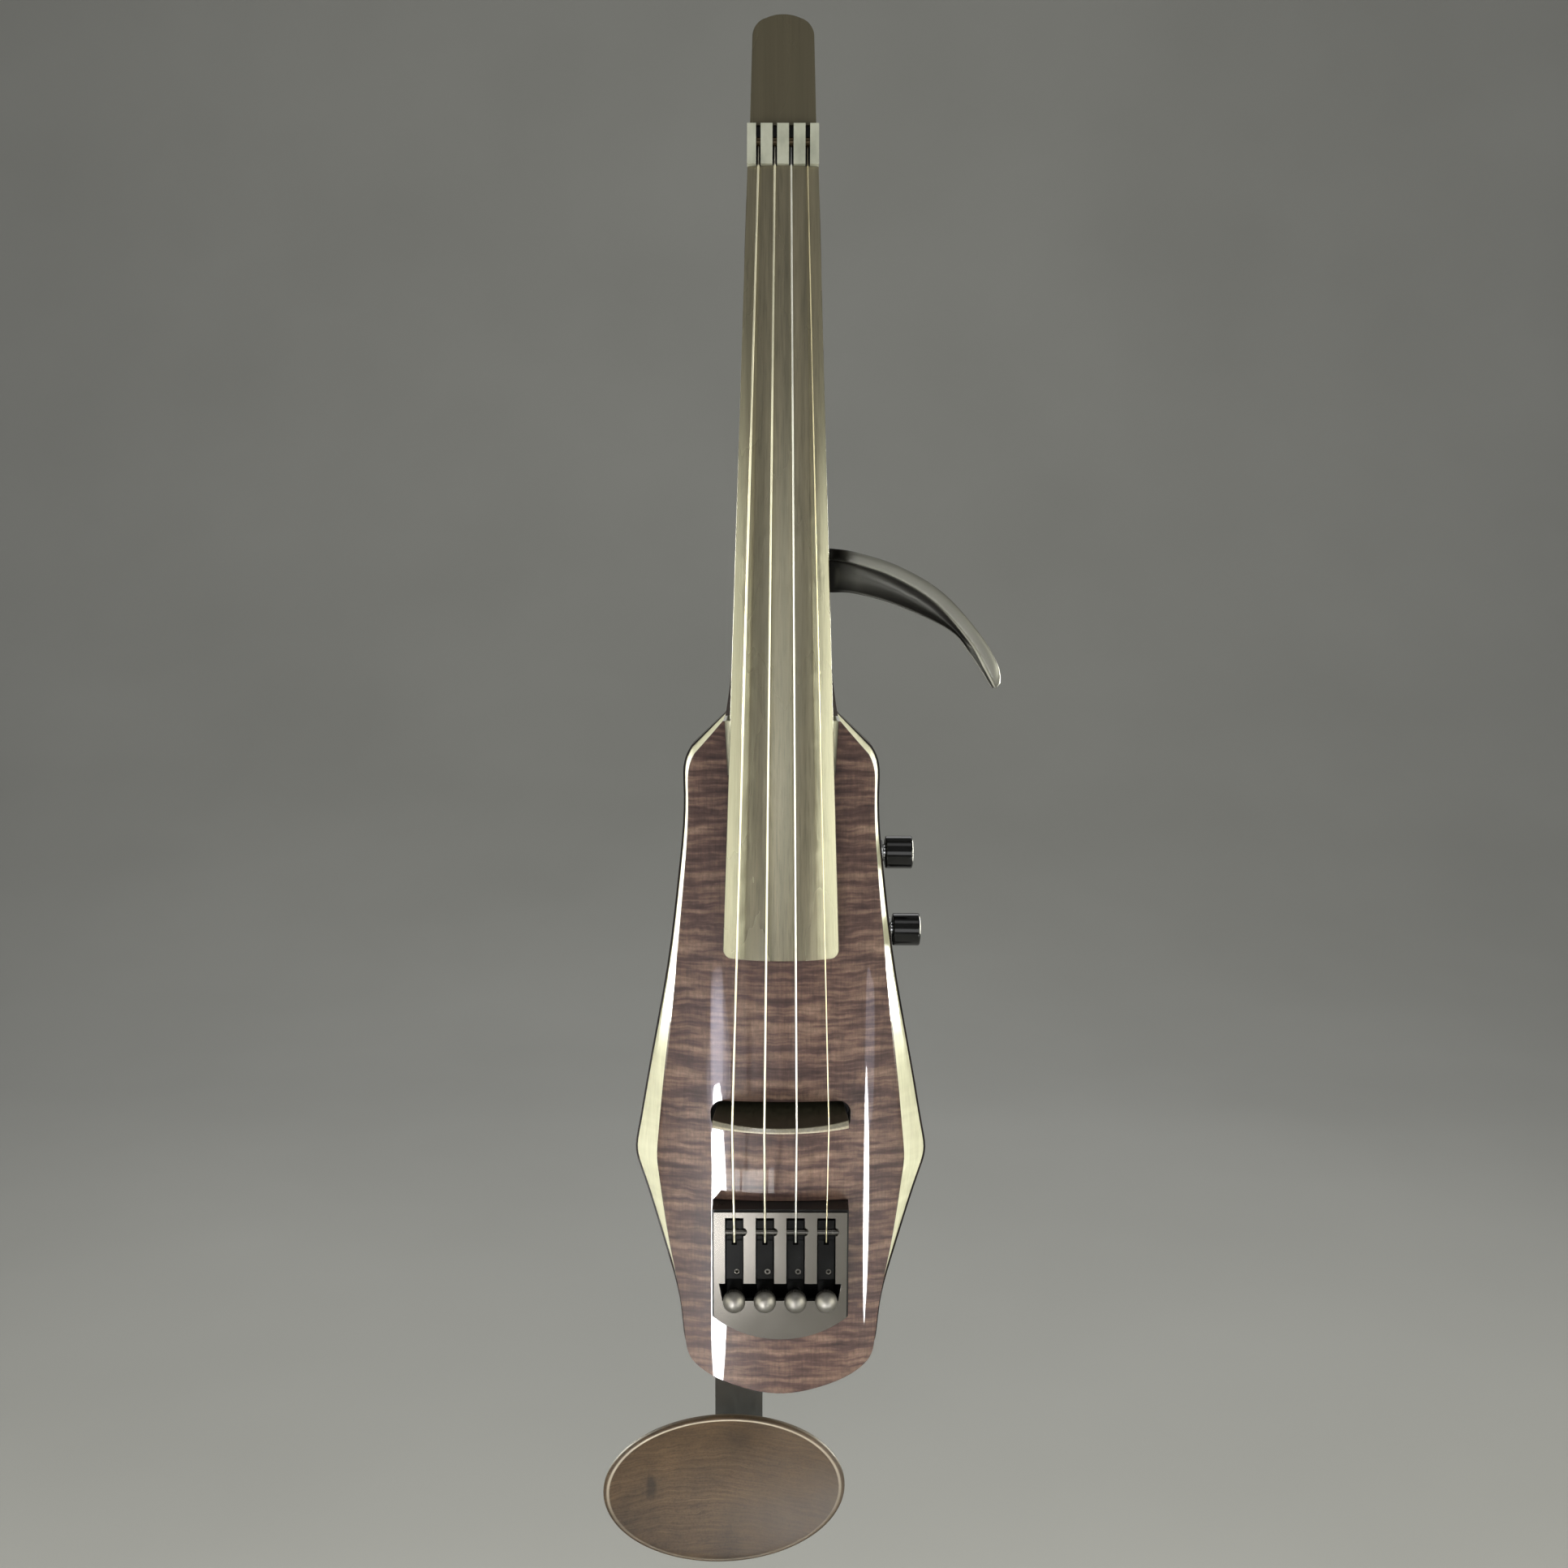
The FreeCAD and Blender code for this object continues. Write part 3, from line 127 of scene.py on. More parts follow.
# ---------------------------------------------------------------- material helpers
class Shader:
    """A new node material with its Principled shader and short ways to add nodes."""

    def __init__(self, name):
        self.material = bpy.data.materials.new(name)
        self.material.use_nodes = True
        self.nodes = self.material.node_tree.nodes
        self.links = self.material.node_tree.links
        self.bsdf = self.nodes["Principled BSDF"]

    def set(self, **values):
        """Sets Principled inputs, with _ for each space in their names."""
        for key, value in values.items():
            self.bsdf.inputs[key.replace("_", " ")].default_value = value

    def feed(self, socket, source):
        """Links a node's output to a Principled input."""
        self.links.new(source, self.bsdf.inputs[socket])

    def put(self, socket, value):
        """Links an output to a socket, or sets the socket to a number or a colour."""
        if isinstance(value, (int, float)):
            socket.default_value = value
        elif isinstance(value, tuple):
            socket.default_value = (*value, 1.0)
        else:
            self.links.new(value, socket)

    def coords(self, scale=(1, 1, 1)):
        """Object coordinates in metres, scaled on each axis."""
        tex = self.nodes.new("ShaderNodeTexCoord")
        mapping = self.nodes.new("ShaderNodeMapping")
        mapping.inputs["Scale"].default_value = scale
        self.links.new(tex.outputs["Object"], mapping.inputs["Vector"])
        return mapping.outputs["Vector"]

    def noise(self, vector, detail, roughness):
        """Noise at unit scale, so the vector's own scale sets its size."""
        node = self.nodes.new("ShaderNodeTexNoise")
        node.inputs["Scale"].default_value = 1.0
        node.inputs["Detail"].default_value = detail
        node.inputs["Roughness"].default_value = roughness
        self.links.new(vector, node.inputs["Vector"])
        return node.outputs["Fac"]

    def ramp(self, fac, stops):
        """Colour ramp through (place, grey or colour) stops."""
        node = self.nodes.new("ShaderNodeValToRGB")
        ramp = node.color_ramp
        while len(ramp.elements) < len(stops):
            ramp.elements.new(0.5)
        for element, (place, value) in zip(ramp.elements, stops):
            element.position = place
            if isinstance(value, (int, float)):
                value = (value, value, value)
            element.color = (*value, 1.0)
        self.links.new(fac, node.inputs["Fac"])
        return node.outputs["Color"]

    def math(self, operation, a, b=None):
        """One math node on outputs or numbers."""
        node = self.nodes.new("ShaderNodeMath")
        node.operation = operation
        self.put(node.inputs[0], a)
        if b is not None:
            self.put(node.inputs[1], b)
        return node.outputs[0]

    def add(self, a, b):
        """Sum of two outputs or numbers."""
        return self.math("ADD", a, b)

    def less(self, a, b):
        """First less the second."""
        return self.math("SUBTRACT", a, b)

    def times(self, a, b):
        """Product of two outputs or numbers."""
        return self.math("MULTIPLY", a, b)

    def length(self, a, b):
        """Length of a vector with two components."""
        return self.math("SQRT", self.add(self.times(a, a), self.times(b, b)))

    def mix(self, fac, a, b, blend="MIX"):
        """Blend of two colours."""
        node = self.nodes.new("ShaderNodeMix")
        node.data_type = "RGBA"
        node.blend_type = blend
        for socket, value in ((node.inputs["Factor"], fac), (node.inputs[6], a), (node.inputs[7], b)):
            self.put(socket, value)
        return node.outputs[2]

    def tint(self, a, b):
        """Product of two colours."""
        return self.mix(1.0, a, b, "MULTIPLY")

    def bump(self, height, strength, distance):
        """Fine relief on the shader's normal."""
        node = self.nodes.new("ShaderNodeBump")
        node.inputs["Strength"].default_value = strength
        node.inputs["Distance"].default_value = distance
        self.links.new(height, node.inputs["Height"])
        self.links.new(node.outputs["Normal"], self.bsdf.inputs["Normal"])

    def split(self, vector):
        """The x, y and z of a vector."""
        node = self.nodes.new("ShaderNodeSeparateXYZ")
        self.links.new(vector, node.inputs["Vector"])
        return node.outputs

    def join(self, x, y, z):
        """A vector from outputs or numbers."""
        node = self.nodes.new("ShaderNodeCombineXYZ")
        for socket, value in zip(node.inputs, (x, y, z)):
            self.put(socket, value)
        return node.outputs["Vector"]


# ---------------------------------------------------------------- materials
def inside(s, x_half, z_low, z_high):
    """1 where a point lies inside an upright slot of the top, given in metres; 0 outside."""
    xyz = s.split(s.coords())
    near = s.math("LESS_THAN", s.math("ABSOLUTE", xyz[0]), x_half)
    above = s.math("GREATER_THAN", xyz[2], z_low)
    below = s.math("LESS_THAN", xyz[2], z_high)
    return s.times(near, s.times(above, below))


def flamed_maple():
    """Book-matched flamed maple under a gloss lacquer, stained purple-brown."""
    s = Shader("flamed_maple")
    xyz = s.split(s.coords())
    side = s.math("ABSOLUTE", xyz[0])
    ripple = s.times(s.noise(s.coords((70, 70, 40)), 3, 0.6), 0.0034)
    z_wave = s.add(xyz[2], ripple)
    flame = s.noise(s.join(s.times(side, 46.0), 0.0, s.times(z_wave, 400.0)), 2.5, 0.6)
    broad = s.noise(s.join(s.times(side, 30.0), 3.0, s.times(z_wave, 110.0)), 2, 0.5)
    grain = s.noise(s.coords((1300, 1300, 70)), 4, 0.65)
    mottle = s.noise(s.coords((640, 640, 420)), 4, 0.7)
    figure = s.add(s.times(flame, 0.66), s.times(broad, 0.34))
    wood = s.ramp(figure, [(0.36, (0.022, 0.009, 0.008)), (0.46, (0.052, 0.026, 0.021)),
                           (0.54, (0.100, 0.058, 0.043)), (0.66, (0.172, 0.112, 0.080))])
    pores = s.ramp(s.add(s.times(grain, 0.45), s.times(mottle, 0.55)), [(0.36, 0.66), (0.62, 1.20)])
    s.feed("Base Color", s.tint(wood, pores))
    s.feed("Roughness", s.ramp(grain, [(0.3, 0.38), (0.7, 0.52)]))
    s.set(Coat_Weight=0.75, Coat_Roughness=0.02, Coat_IOR=1.45, Specular_IOR_Level=0.25)
    return s.material


def pale_maple():
    """Clear-lacquered pale maple with faint grain, with painted black shade in the pickup slot and the tail
    recess.
    """
    s = Shader("pale_maple")
    grain = s.noise(s.coords((900, 900, 30)), 4, 0.6)
    flame = s.noise(s.coords((20, 20, 240)), 2, 0.5)
    mixed = s.add(s.times(grain, 0.6), s.times(flame, 0.4))
    wood = s.ramp(mixed, [(0.3, (0.44, 0.43, 0.30)), (0.5, (0.54, 0.53, 0.38)), (0.7, (0.62, 0.61, 0.45))])
    low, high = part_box("bridge_pickup")
    slot = inside(s, high.x + 0.004, low.z - 0.003, high.z + 0.003)
    low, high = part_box("tail_frame")
    recess = inside(s, high.x + 0.001, low.z - 0.001, high.z + 0.001)
    # Painted shade: the pickup slot and the tail recess are coloured black
    s.feed("Base Color", s.mix(s.math("MAXIMUM", slot, recess), wood, PAINTED_SHADE_BLACK))
    s.feed("Roughness", s.ramp(grain, [(0.3, 0.30), (0.7, 0.42)]))
    s.set(Coat_Weight=0.3, Coat_Roughness=0.05, Coat_IOR=1.4, Specular_IOR_Level=0.3)
    return s.material


def dark_lacquer():
    """Near-black stained wood under gloss lacquer."""
    s = Shader("dark_lacquer")
    grain = s.noise(s.coords((700, 700, 22)), 5, 0.6)
    s.feed("Base Color", s.ramp(grain, [(0.32, (0.004, 0.003, 0.003)), (0.6, (0.012, 0.007, 0.006)),
                                        (0.8, (0.030, 0.017, 0.013))]))
    s.feed("Roughness", s.ramp(grain, [(0.3, 0.30), (0.7, 0.45)]))
    s.set(Coat_Weight=0.35, Coat_Roughness=0.03, Coat_IOR=1.3, Specular_IOR_Level=0.1)
    return s.material


def neck_finish():
    """Dark stained neck with a satin finish that hand wear has made patchy."""
    s = Shader("neck_finish")
    grain = s.noise(s.coords((800, 800, 20)), 5, 0.6)
    wear_and_sheen = s.noise(s.coords((14, 14, 9)), 3, 0.5)
    s.feed("Base Color", s.ramp(grain, [(0.3, (0.012, 0.008, 0.007)), (0.7, (0.045, 0.030, 0.024))]))
    s.feed("Roughness", s.ramp(wear_and_sheen, [(0.35, 0.34), (0.65, 0.46)]))
    s.set(Specular_IOR_Level=0.3)
    s.bump(grain, 0.12, 0.0001)
    return s.material


def ebony(name, middle, shine, contrast):
    """Dark brown-grey wood, satin, with straight pores along its length."""
    s = Shader(name)
    pores = s.noise(s.coords((1700, 1700, 26)), 4, 0.65)
    streak = s.noise(s.coords((260, 260, 3.2)), 3, 0.55)
    patch = s.noise(s.coords((60, 60, 14)), 3, 0.5)
    low = tuple(c * (1.0 - 0.30 * contrast) for c in middle)
    high = tuple(c * (1.0 + 0.40 * contrast) for c in middle)
    base = s.ramp(streak, [(0.30, low), (0.50, middle), (0.72, high)])
    fine = s.ramp(pores, [(0.34, 1.0 - 0.30 * contrast), (0.5, 1.0), (0.7, 1.0 + 0.12 * contrast)])
    s.feed("Base Color", s.tint(base, fine))
    s.feed("Roughness", s.ramp(patch, [(0.3, 0.24), (0.7, 0.31)]))
    s.set(IOR=1.7, Specular_IOR_Level=shine, Specular_Tint=(1.0, 1.0, 0.76, 1.0))
    s.bump(pores, 0.25, 0.00012)
    return s.material


def growth_line(s, xyz):
    """Height across the bending growth lines of the chin rest's wood, in metres."""
    across = s.add(xyz[0], 0.030)
    bend = s.times(s.times(across, across), 2.4)
    drift = s.times(s.noise(s.coords((38, 38, 60)), 3, 0.5), 0.010)
    return s.add(s.add(xyz[2], bend), drift)


def knot_shade(s, xyz):
    """Darkening of one small upright knot with a ragged edge."""
    x = s.times(s.less(xyz[0], KNOT_X), 330.0)
    z = s.times(s.less(xyz[2], KNOT_Z), 130.0)
    ragged = s.times(s.noise(s.coords((420, 420, 260)), 4, 0.6), 0.9)
    distance = s.add(s.add(s.times(x, x), s.times(z, z)), ragged)
    return s.ramp(distance, [(0.55, 0.45), (1.0, 1.0)])


def plate_place(s, xyz):
    """Place on the oval chin rest plate along its long and short axes, each -1 to 1."""
    turn = math.radians(PLATE["turn"])
    dx = s.less(xyz[0], PLATE["x"] / MM)
    dz = s.less(xyz[2], PLATE["z"] / MM)
    along = s.add(s.times(dx, math.cos(turn)), s.times(dz, math.sin(turn)))
    upward = s.less(s.times(dz, math.cos(turn)), s.times(dx, math.sin(turn)))
    return s.times(along, MM / PLATE["a"]), s.times(upward, MM / PLATE["b"])


def walnut():
    """Brown chin-rest wood: fine bending growth lines, open pores and a small knot, with painted sheen paler
    towards its right end and a painted highlight along the rim, strongest towards the top.
    """
    s = Shader("walnut_plate")
    xyz = s.split(s.coords())
    line = growth_line(s, xyz)
    growth = s.noise(s.join(s.times(xyz[0], 14.0), 0.0, s.times(line, 1100.0)), 4, 0.70)
    fine = s.noise(s.join(s.times(xyz[0], 120.0), 0.0, s.times(line, 2400.0)), 3, 0.6)
    speckle = s.noise(s.coords((1300, 1300, 1300)), 2, 0.6)
    wood = s.ramp(growth, [(0.30, (0.036, 0.021, 0.010)), (0.50, (0.050, 0.030, 0.014)),
                           (0.70, (0.068, 0.043, 0.022))])
    marks = s.add(s.times(fine, 0.6), s.times(speckle, 0.4))
    marks = s.ramp(marks, [(0.38, 0.62), (0.50, 0.98), (0.64, 1.12)])
    blotch = s.ramp(s.noise(s.coords((34, 34, 40)), 5, 0.65), [(0.34, 0.55), (0.50, 0.95), (0.64, 1.22)])
    body = s.tint(s.tint(s.tint(wood, marks), blotch), knot_shade(s, xyz))
    along, upward = plate_place(s, xyz)
    cloud = s.noise(s.coords((30, 30, 30)), 4, 0.6)
    # Painted sheen: paler towards the plate's right end, clouded at random
    painted_sheen = s.ramp(s.add(s.times(along, 0.40), s.times(cloud, 0.9)), [(0.40, 0.0), (0.95, 0.42)])
    body = s.mix(painted_sheen, body, (0.100, 0.078, 0.060))
    # Painted highlight: a pale line along the rim, strongest towards the top of the plate and varied at
    # random
    rim = s.ramp(s.length(along, upward), [(0.946, 0.0), (0.953, 1.0), (0.966, 1.0), (0.974, 0.0)])
    wear_and_sheen = s.ramp(s.add(upward, s.times(cloud, 0.8)), [(0.0, 0.22), (0.95, 1.0)])
    s.feed("Base Color", s.mix(s.times(rim, wear_and_sheen), body, (0.30, 0.26, 0.20)))
    s.feed("Roughness", s.ramp(fine, [(0.3, 0.42), (0.7, 0.56)]))
    s.set(Specular_IOR_Level=0.35)
    s.bump(marks, 0.25, 0.00012)
    return s.material


def metal(name, color, roughness, grain=(900, 900, 900), depth=0.06, spread=0.08):
    """Metal whose blasted or brushed grain varies the roughness and the surface."""
    s = Shader(name)
    fine = s.noise(s.coords(grain), 3, 0.6)
    smudge = s.noise(s.coords((45, 45, 45)), 4, 0.6)
    low = tuple(c * 0.86 for c in color)
    s.feed("Base Color", s.ramp(smudge, [(0.3, low), (0.7, color)]))
    mixed = s.add(s.times(fine, 0.6), s.times(smudge, 0.4))
    s.feed("Roughness", s.ramp(mixed, [(0.3, max(0.02, roughness - spread)), (0.7, roughness + spread)]))
    s.set(Metallic=1.0)
    s.bump(fine, depth, 0.0001)
    return s.material


def nut_alloy():
    """Blasted grey alloy with painted black shade in its slots, one per string."""
    s = Shader("nut_alloy")
    fine = s.noise(s.coords((900, 900, 900)), 3, 0.6)
    cloud = s.noise(s.coords((110, 110, 60)), 4, 0.6)
    plain = s.ramp(cloud, [(0.32, (0.35, 0.36, 0.30)), (0.50, (0.46, 0.47, 0.39)),
                           (0.68, (0.54, 0.55, 0.47))])
    across = s.times(s.math("ABSOLUTE", s.split(s.coords())[0]), MM)
    from_land = s.math("PINGPONG", across, NUT_PITCH / 2)
    slot = s.math("GREATER_THAN", from_land, NUT_PITCH / 2 - SLOT_HALF)
    # Painted shade: the string slots are coloured black
    s.feed("Base Color", s.mix(slot, plain, PAINTED_SHADE_BLACK))
    s.feed("Metallic", s.times(s.less(1.0, slot), 0.35))
    s.feed("Roughness", s.ramp(fine, [(0.3, 0.40), (0.7, 0.52)]))
    s.bump(fine, 0.10, 0.0001)
    return s.material


def wound_string(index):
    """Metal winding with a fine pitch; the thinnest string is plain steel."""
    s = Shader("string_" + STRINGS[index])
    colors = ((0.90, 0.85, 0.66), (0.92, 0.88, 0.70), (0.95, 0.94, 0.88), (0.94, 0.84, 0.56))
    wave = s.nodes.new("ShaderNodeTexWave")
    wave.bands_direction = "Z"
    wave.inputs["Scale"].default_value = 900.0
    s.links.new(s.coords(), wave.inputs["Vector"])
    tarnish = s.noise(s.coords((70, 70, 40)), 3, 0.5)
    low = tuple(c * 0.85 for c in colors[index])
    s.feed("Base Color", s.ramp(tarnish, [(0.3, low), (0.65, colors[index])]))
    s.feed("Roughness", s.ramp(tarnish, [(0.3, 0.30), (0.7, 0.42)]))
    s.set(Metallic=1.0)
    s.bump(wave.outputs["Fac"], 0.12 if index < WOUND else 0.03, 0.00005)
    return s.material


def plastic(name, color, roughness, coat=0.0, texture=0.05, shine=0.5):
    """Moulded or painted black surface with faint dust and wear."""
    s = Shader(name)
    fine = s.noise(s.coords((1400, 1400, 1400)), 2, 0.5)
    dust = s.noise(s.coords((90, 90, 90)), 5, 0.65)
    lit = tuple(c * 1.9 + 0.004 for c in color)
    s.feed("Base Color", s.ramp(dust, [(0.40, color), (0.90, lit)]))
    s.feed("Roughness", s.ramp(dust, [(0.3, max(0.03, roughness - 0.04)), (0.7, roughness + 0.08)]))
    s.set(Coat_Weight=coat, Coat_Roughness=0.03, Specular_IOR_Level=shine)
    s.bump(fine, texture, 0.00008)
    return s.material


def arm_finish():
    """Satin black moulding with patchy rubbed wear, a painted highlight on its front rim, and painted shade
    in the scoop and towards its root, where it is also less glossy.
    """
    s = Shader("arm_black")
    xyz = s.split(s.coords())
    fine = s.noise(s.coords((1100, 1100, 1100)), 2, 0.5)
    wear = s.noise(s.coords((60, 60, 60)), 4, 0.6)
    depth = s.times(xyz[1], 100.0)
    # Painted highlight and shade: the front rim is coloured paler, the deeper scoop darker
    shade = s.ramp(depth, [(0.0, (0.066, 0.065, 0.056)), (0.10, (0.030, 0.030, 0.027)),
                           (0.35, (0.014, 0.013, 0.013))])
    rubbed = s.ramp(wear, [(0.35, 0.85), (0.7, 1.2)])
    # Painted shade: darker towards the root where the arm meets the neck; the same mask dulls the gloss there
    root = s.ramp(s.times(xyz[0], 10.0), [(0.20, 0.12), (0.27, 1.0)])
    s.feed("Base Color", s.tint(s.tint(shade, rubbed), root))
    s.feed("Roughness", s.ramp(wear, [(0.3, 0.40), (0.7, 0.48)]))
    gloss = s.ramp(depth, [(0.0, 1.0), (0.12, 0.75), (0.30, 0.55)])
    s.feed("Specular IOR Level", s.times(gloss, root))
    s.set(IOR=1.75, Specular_Tint=(1.0, 1.0, 0.90, 1.0))
    s.bump(fine, 0.04, 0.00008)
    return s.material


def bridge_finish():
    """Black bridge with a painted pale highlight along the back of its arched crown."""
    s = Shader("bridge_black")
    low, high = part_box("bridge")
    xyz = s.split(s.coords())
    reach = s.length(xyz[0], s.less(xyz[1], low.y + BRIDGE_CROWN_R))
    depth = s.times(s.less(BRIDGE_CROWN_R, reach), MM)
    # Painted highlight: a pale band on the crown, strongest towards its back
    edge = s.ramp(depth, [(0.0, 1.0), (0.25, 1.0), (0.45, 0.0)])
    back = s.times(s.less((low.z + high.z) / 2, xyz[2]), MM)
    edge = s.times(edge, s.ramp(back, [(0.0, 0.25), (0.25, 0.5), (0.45, 1.0)]))
    grain = s.noise(s.coords((1200, 300, 1200)), 3, 0.6)
    dark = s.ramp(grain, [(0.3, (0.020, 0.018, 0.010)), (0.7, (0.046, 0.041, 0.026))])
    pale = s.ramp(grain, [(0.3, (0.24, 0.21, 0.15)), (0.7, (0.38, 0.34, 0.25))])
    s.feed("Base Color", s.mix(edge, dark, pale))
    s.feed("Roughness", s.ramp(grain, [(0.3, 0.34), (0.7, 0.46)]))
    s.bump(grain, 0.1, 0.00008)
    return s.material


def paint(material, *targets):
    """Gives CAD nodes one material in every slot."""
    for target in targets:
        mesh = nodes[target].data
        mesh.materials.clear()
        mesh.materials.append(material)


def dress_wood():
    """Materials for the wooden nodes."""
    paint(flamed_maple(), "figured_top")
    paint(pale_maple(), "maple_layer")
    paint(dark_lacquer(), "body_core")
    paint(neck_finish(), "neck")
    paint(ebony("ebony_board", (0.102, 0.086, 0.060), 0.90, 1.0), "fingerboard")
    paint(ebony("head_wood", (0.068, 0.058, 0.040), 0.40, 0.35), "head_cap")
    paint(bridge_finish(), "bridge")


def dress_black():
    """Materials for the black plastic and painted nodes."""
    paint(plastic("pickup_resin", (0.008, 0.008, 0.008), 0.25), "bridge_pickup", "signal_wires")
    paint(plastic("tuner_black", (0.006, 0.006, 0.006), 0.30, shine=0.3), "tail_frame")
    paint(plastic("cover_black", (0.008, 0.008, 0.008), 0.42, texture=0.15, shine=0.2), "cavity_cover")
    paint(plastic("knob_gloss", (0.002, 0.002, 0.002), 0.09, coat=0.15, shine=0.35),
          "volume_knob", "tone_knob")
    lever = plastic("lever_black", (0.003, 0.003, 0.003), 0.20, shine=0.08)
    paint(lever, *("tuning_lever_" + name for name in STRINGS))


def dress_metal():
    """Materials for the metal nodes."""
    paint(nut_alloy(), "nut_block")
    paint(metal("tail_pewter", (0.21, 0.196, 0.178), 0.19, grain=(2400, 2400, 2400), depth=0.04, spread=0.03),
          "tail_face_plate")
    paint(metal("aged_brass", (0.10, 0.075, 0.045), 0.36), "string_ball_ends", "clamp_insert")
    paint(metal("bright_chrome", (0.78, 0.79, 0.80), 0.08, spread=0.03),
          "pot_nuts", "output_jack", "jack_nut", "volume_shaft", "tone_shaft")
    paint(metal("screw_steel", (0.30, 0.30, 0.29), 0.26),
          "tail_frame_screws", "cavity_cover_screws", "hand_rest_screws", "chin_rest_screws",
          "volume_set_screw", "tone_set_screw", "volume_pot", "tone_pot")
    paint(metal("strap_steel", (0.33, 0.345, 0.36), 0.40, grain=(1600, 1600, 120), depth=0.12),
          "chin_rest_strap")
    paint(metal("satin_nickel", (0.23, 0.22, 0.20), 0.47),
          "chin_rest_clamp_knob", *("tuner_knob_" + name for name in STRINGS))
    paint(metal("dark_steel", (0.11, 0.105, 0.095), 0.24),
          "lever_pivot_pin", *("string_clamp_screw_" + name for name in STRINGS))
    for index, name in enumerate(STRINGS):
        paint(wound_string(index), "string_" + name)


def angle_group(limit_deg):
    """Geometry nodes that smooth every face and keep edges above an angle sharp."""
    group = bpy.data.node_groups.new("sharp_by_angle", "GeometryNodeTree")
    group.interface.new_socket("Geometry", in_out="INPUT", socket_type="NodeSocketGeometry")
    group.interface.new_socket("Geometry", in_out="OUTPUT", socket_type="NodeSocketGeometry")
    start = group.nodes.new("NodeGroupInput")
    end = group.nodes.new("NodeGroupOutput")
    clean = group.nodes.new("GeometryNodeRemoveAttribute")
    clean.inputs["Name"].default_value = "custom_normal"
    faces = group.nodes.new("GeometryNodeSetShadeSmooth")
    edges = group.nodes.new("GeometryNodeSetShadeSmooth")
    edges.domain = "EDGE"
    edges.inputs["Shade Smooth"].default_value = False
    angle = group.nodes.new("GeometryNodeInputMeshEdgeAngle")
    compare = group.nodes.new("FunctionNodeCompare")
    compare.operation = "GREATER_THAN"
    compare.inputs["B"].default_value = math.radians(limit_deg)
    link = group.links.new
    link(start.outputs[0], clean.inputs["Geometry"])
    link(clean.outputs[0], faces.inputs["Geometry"])
    link(faces.outputs[0], edges.inputs["Geometry"])
    link(angle.outputs["Unsigned Angle"], compare.inputs["A"])
    link(compare.outputs["Result"], edges.inputs["Selection"])
    link(edges.outputs[0], end.inputs[0])
    return group


def soften_edges():
    """Small rounded edges and angle-based smooth shading on every CAD node but strings and wires."""
    by_angle = angle_group(SMOOTH_BELOW)
    plain = ["string_" + name for name in STRINGS] + ["signal_wires"]
    for name, node in nodes.items():
        if name in plain:
            continue
        weld = node.modifiers.new("weld", "WELD")
        weld.merge_threshold = 2e-6
        flat = node.modifiers.new("flat", "DECIMATE")
        flat.decimate_type = "DISSOLVE"
        flat.angle_limit = math.radians(0.4)
        sharp = node.modifiers.new("sharp", "NODES")
        sharp.node_group = by_angle
        bevel = node.modifiers.new("bevel", "BEVEL")
        bevel.limit_method = "ANGLE"
        bevel.angle_limit = math.radians(BEVEL_ABOVE)
        bevel.width = FINE_BEVEL_WIDTH if name in FINE_NODES else BEVEL_WIDTH
        bevel.segments = 2
        bevel.harden_normals = False
        bevel.use_clamp_overlap = True
        weighted = node.modifiers.new("weighted", "WEIGHTED_NORMAL")
        weighted.keep_sharp = True
        weighted.mode = "FACE_AREA"


# ---------------------------------------------------------------- new pieces
def spline(points, u):
    """Point at share u of a smooth line through the points."""
    steps = [0.0]
    for p, q in zip(points, points[1:]):
        steps.append(steps[-1] + math.dist(p, q))
    place = u * steps[-1]
    k = max(i for i in range(len(points) - 1) if steps[i] <= place + 1e-9)
    t = (place - steps[k]) / (steps[k + 1] - steps[k])
    before = points[max(k - 1, 0)]
    after = points[min(k + 2, len(points) - 1)]
    p, q = points[k], points[k + 1]
    return tuple(
        0.5 * (2 * b + (c - a) * t + (2 * a - 5 * b + 4 * c - d) * t * t + (3 * b - a - 3 * c + d) * t ** 3)
        for a, b, c, d in zip(before, p, q, after)
    )


def skin(name, rings):
    """Closed surface through rings that all have the same number of points, given in millimetres."""
    mesh = bmesh.new()
    rows = [[mesh.verts.new(Vector(p) / MM) for p in ring] for ring in rings]
    for low, high in zip(rows, rows[1:]):
        for k in range(len(low)):
            j = (k + 1) % len(low)
            mesh.faces.new((low[k], low[j], high[j], high[k]))
    mesh.faces.new(reversed(rows[0]))
    mesh.faces.new(rows[-1])
    bmesh.ops.recalc_face_normals(mesh, faces=mesh.faces)
    data = bpy.data.meshes.new(name)
    mesh.to_mesh(data)
    mesh.free()
    data.shade_smooth()
    piece = bpy.data.objects.new(name, data)
    bpy.context.scene.collection.objects.link(piece)
    return piece


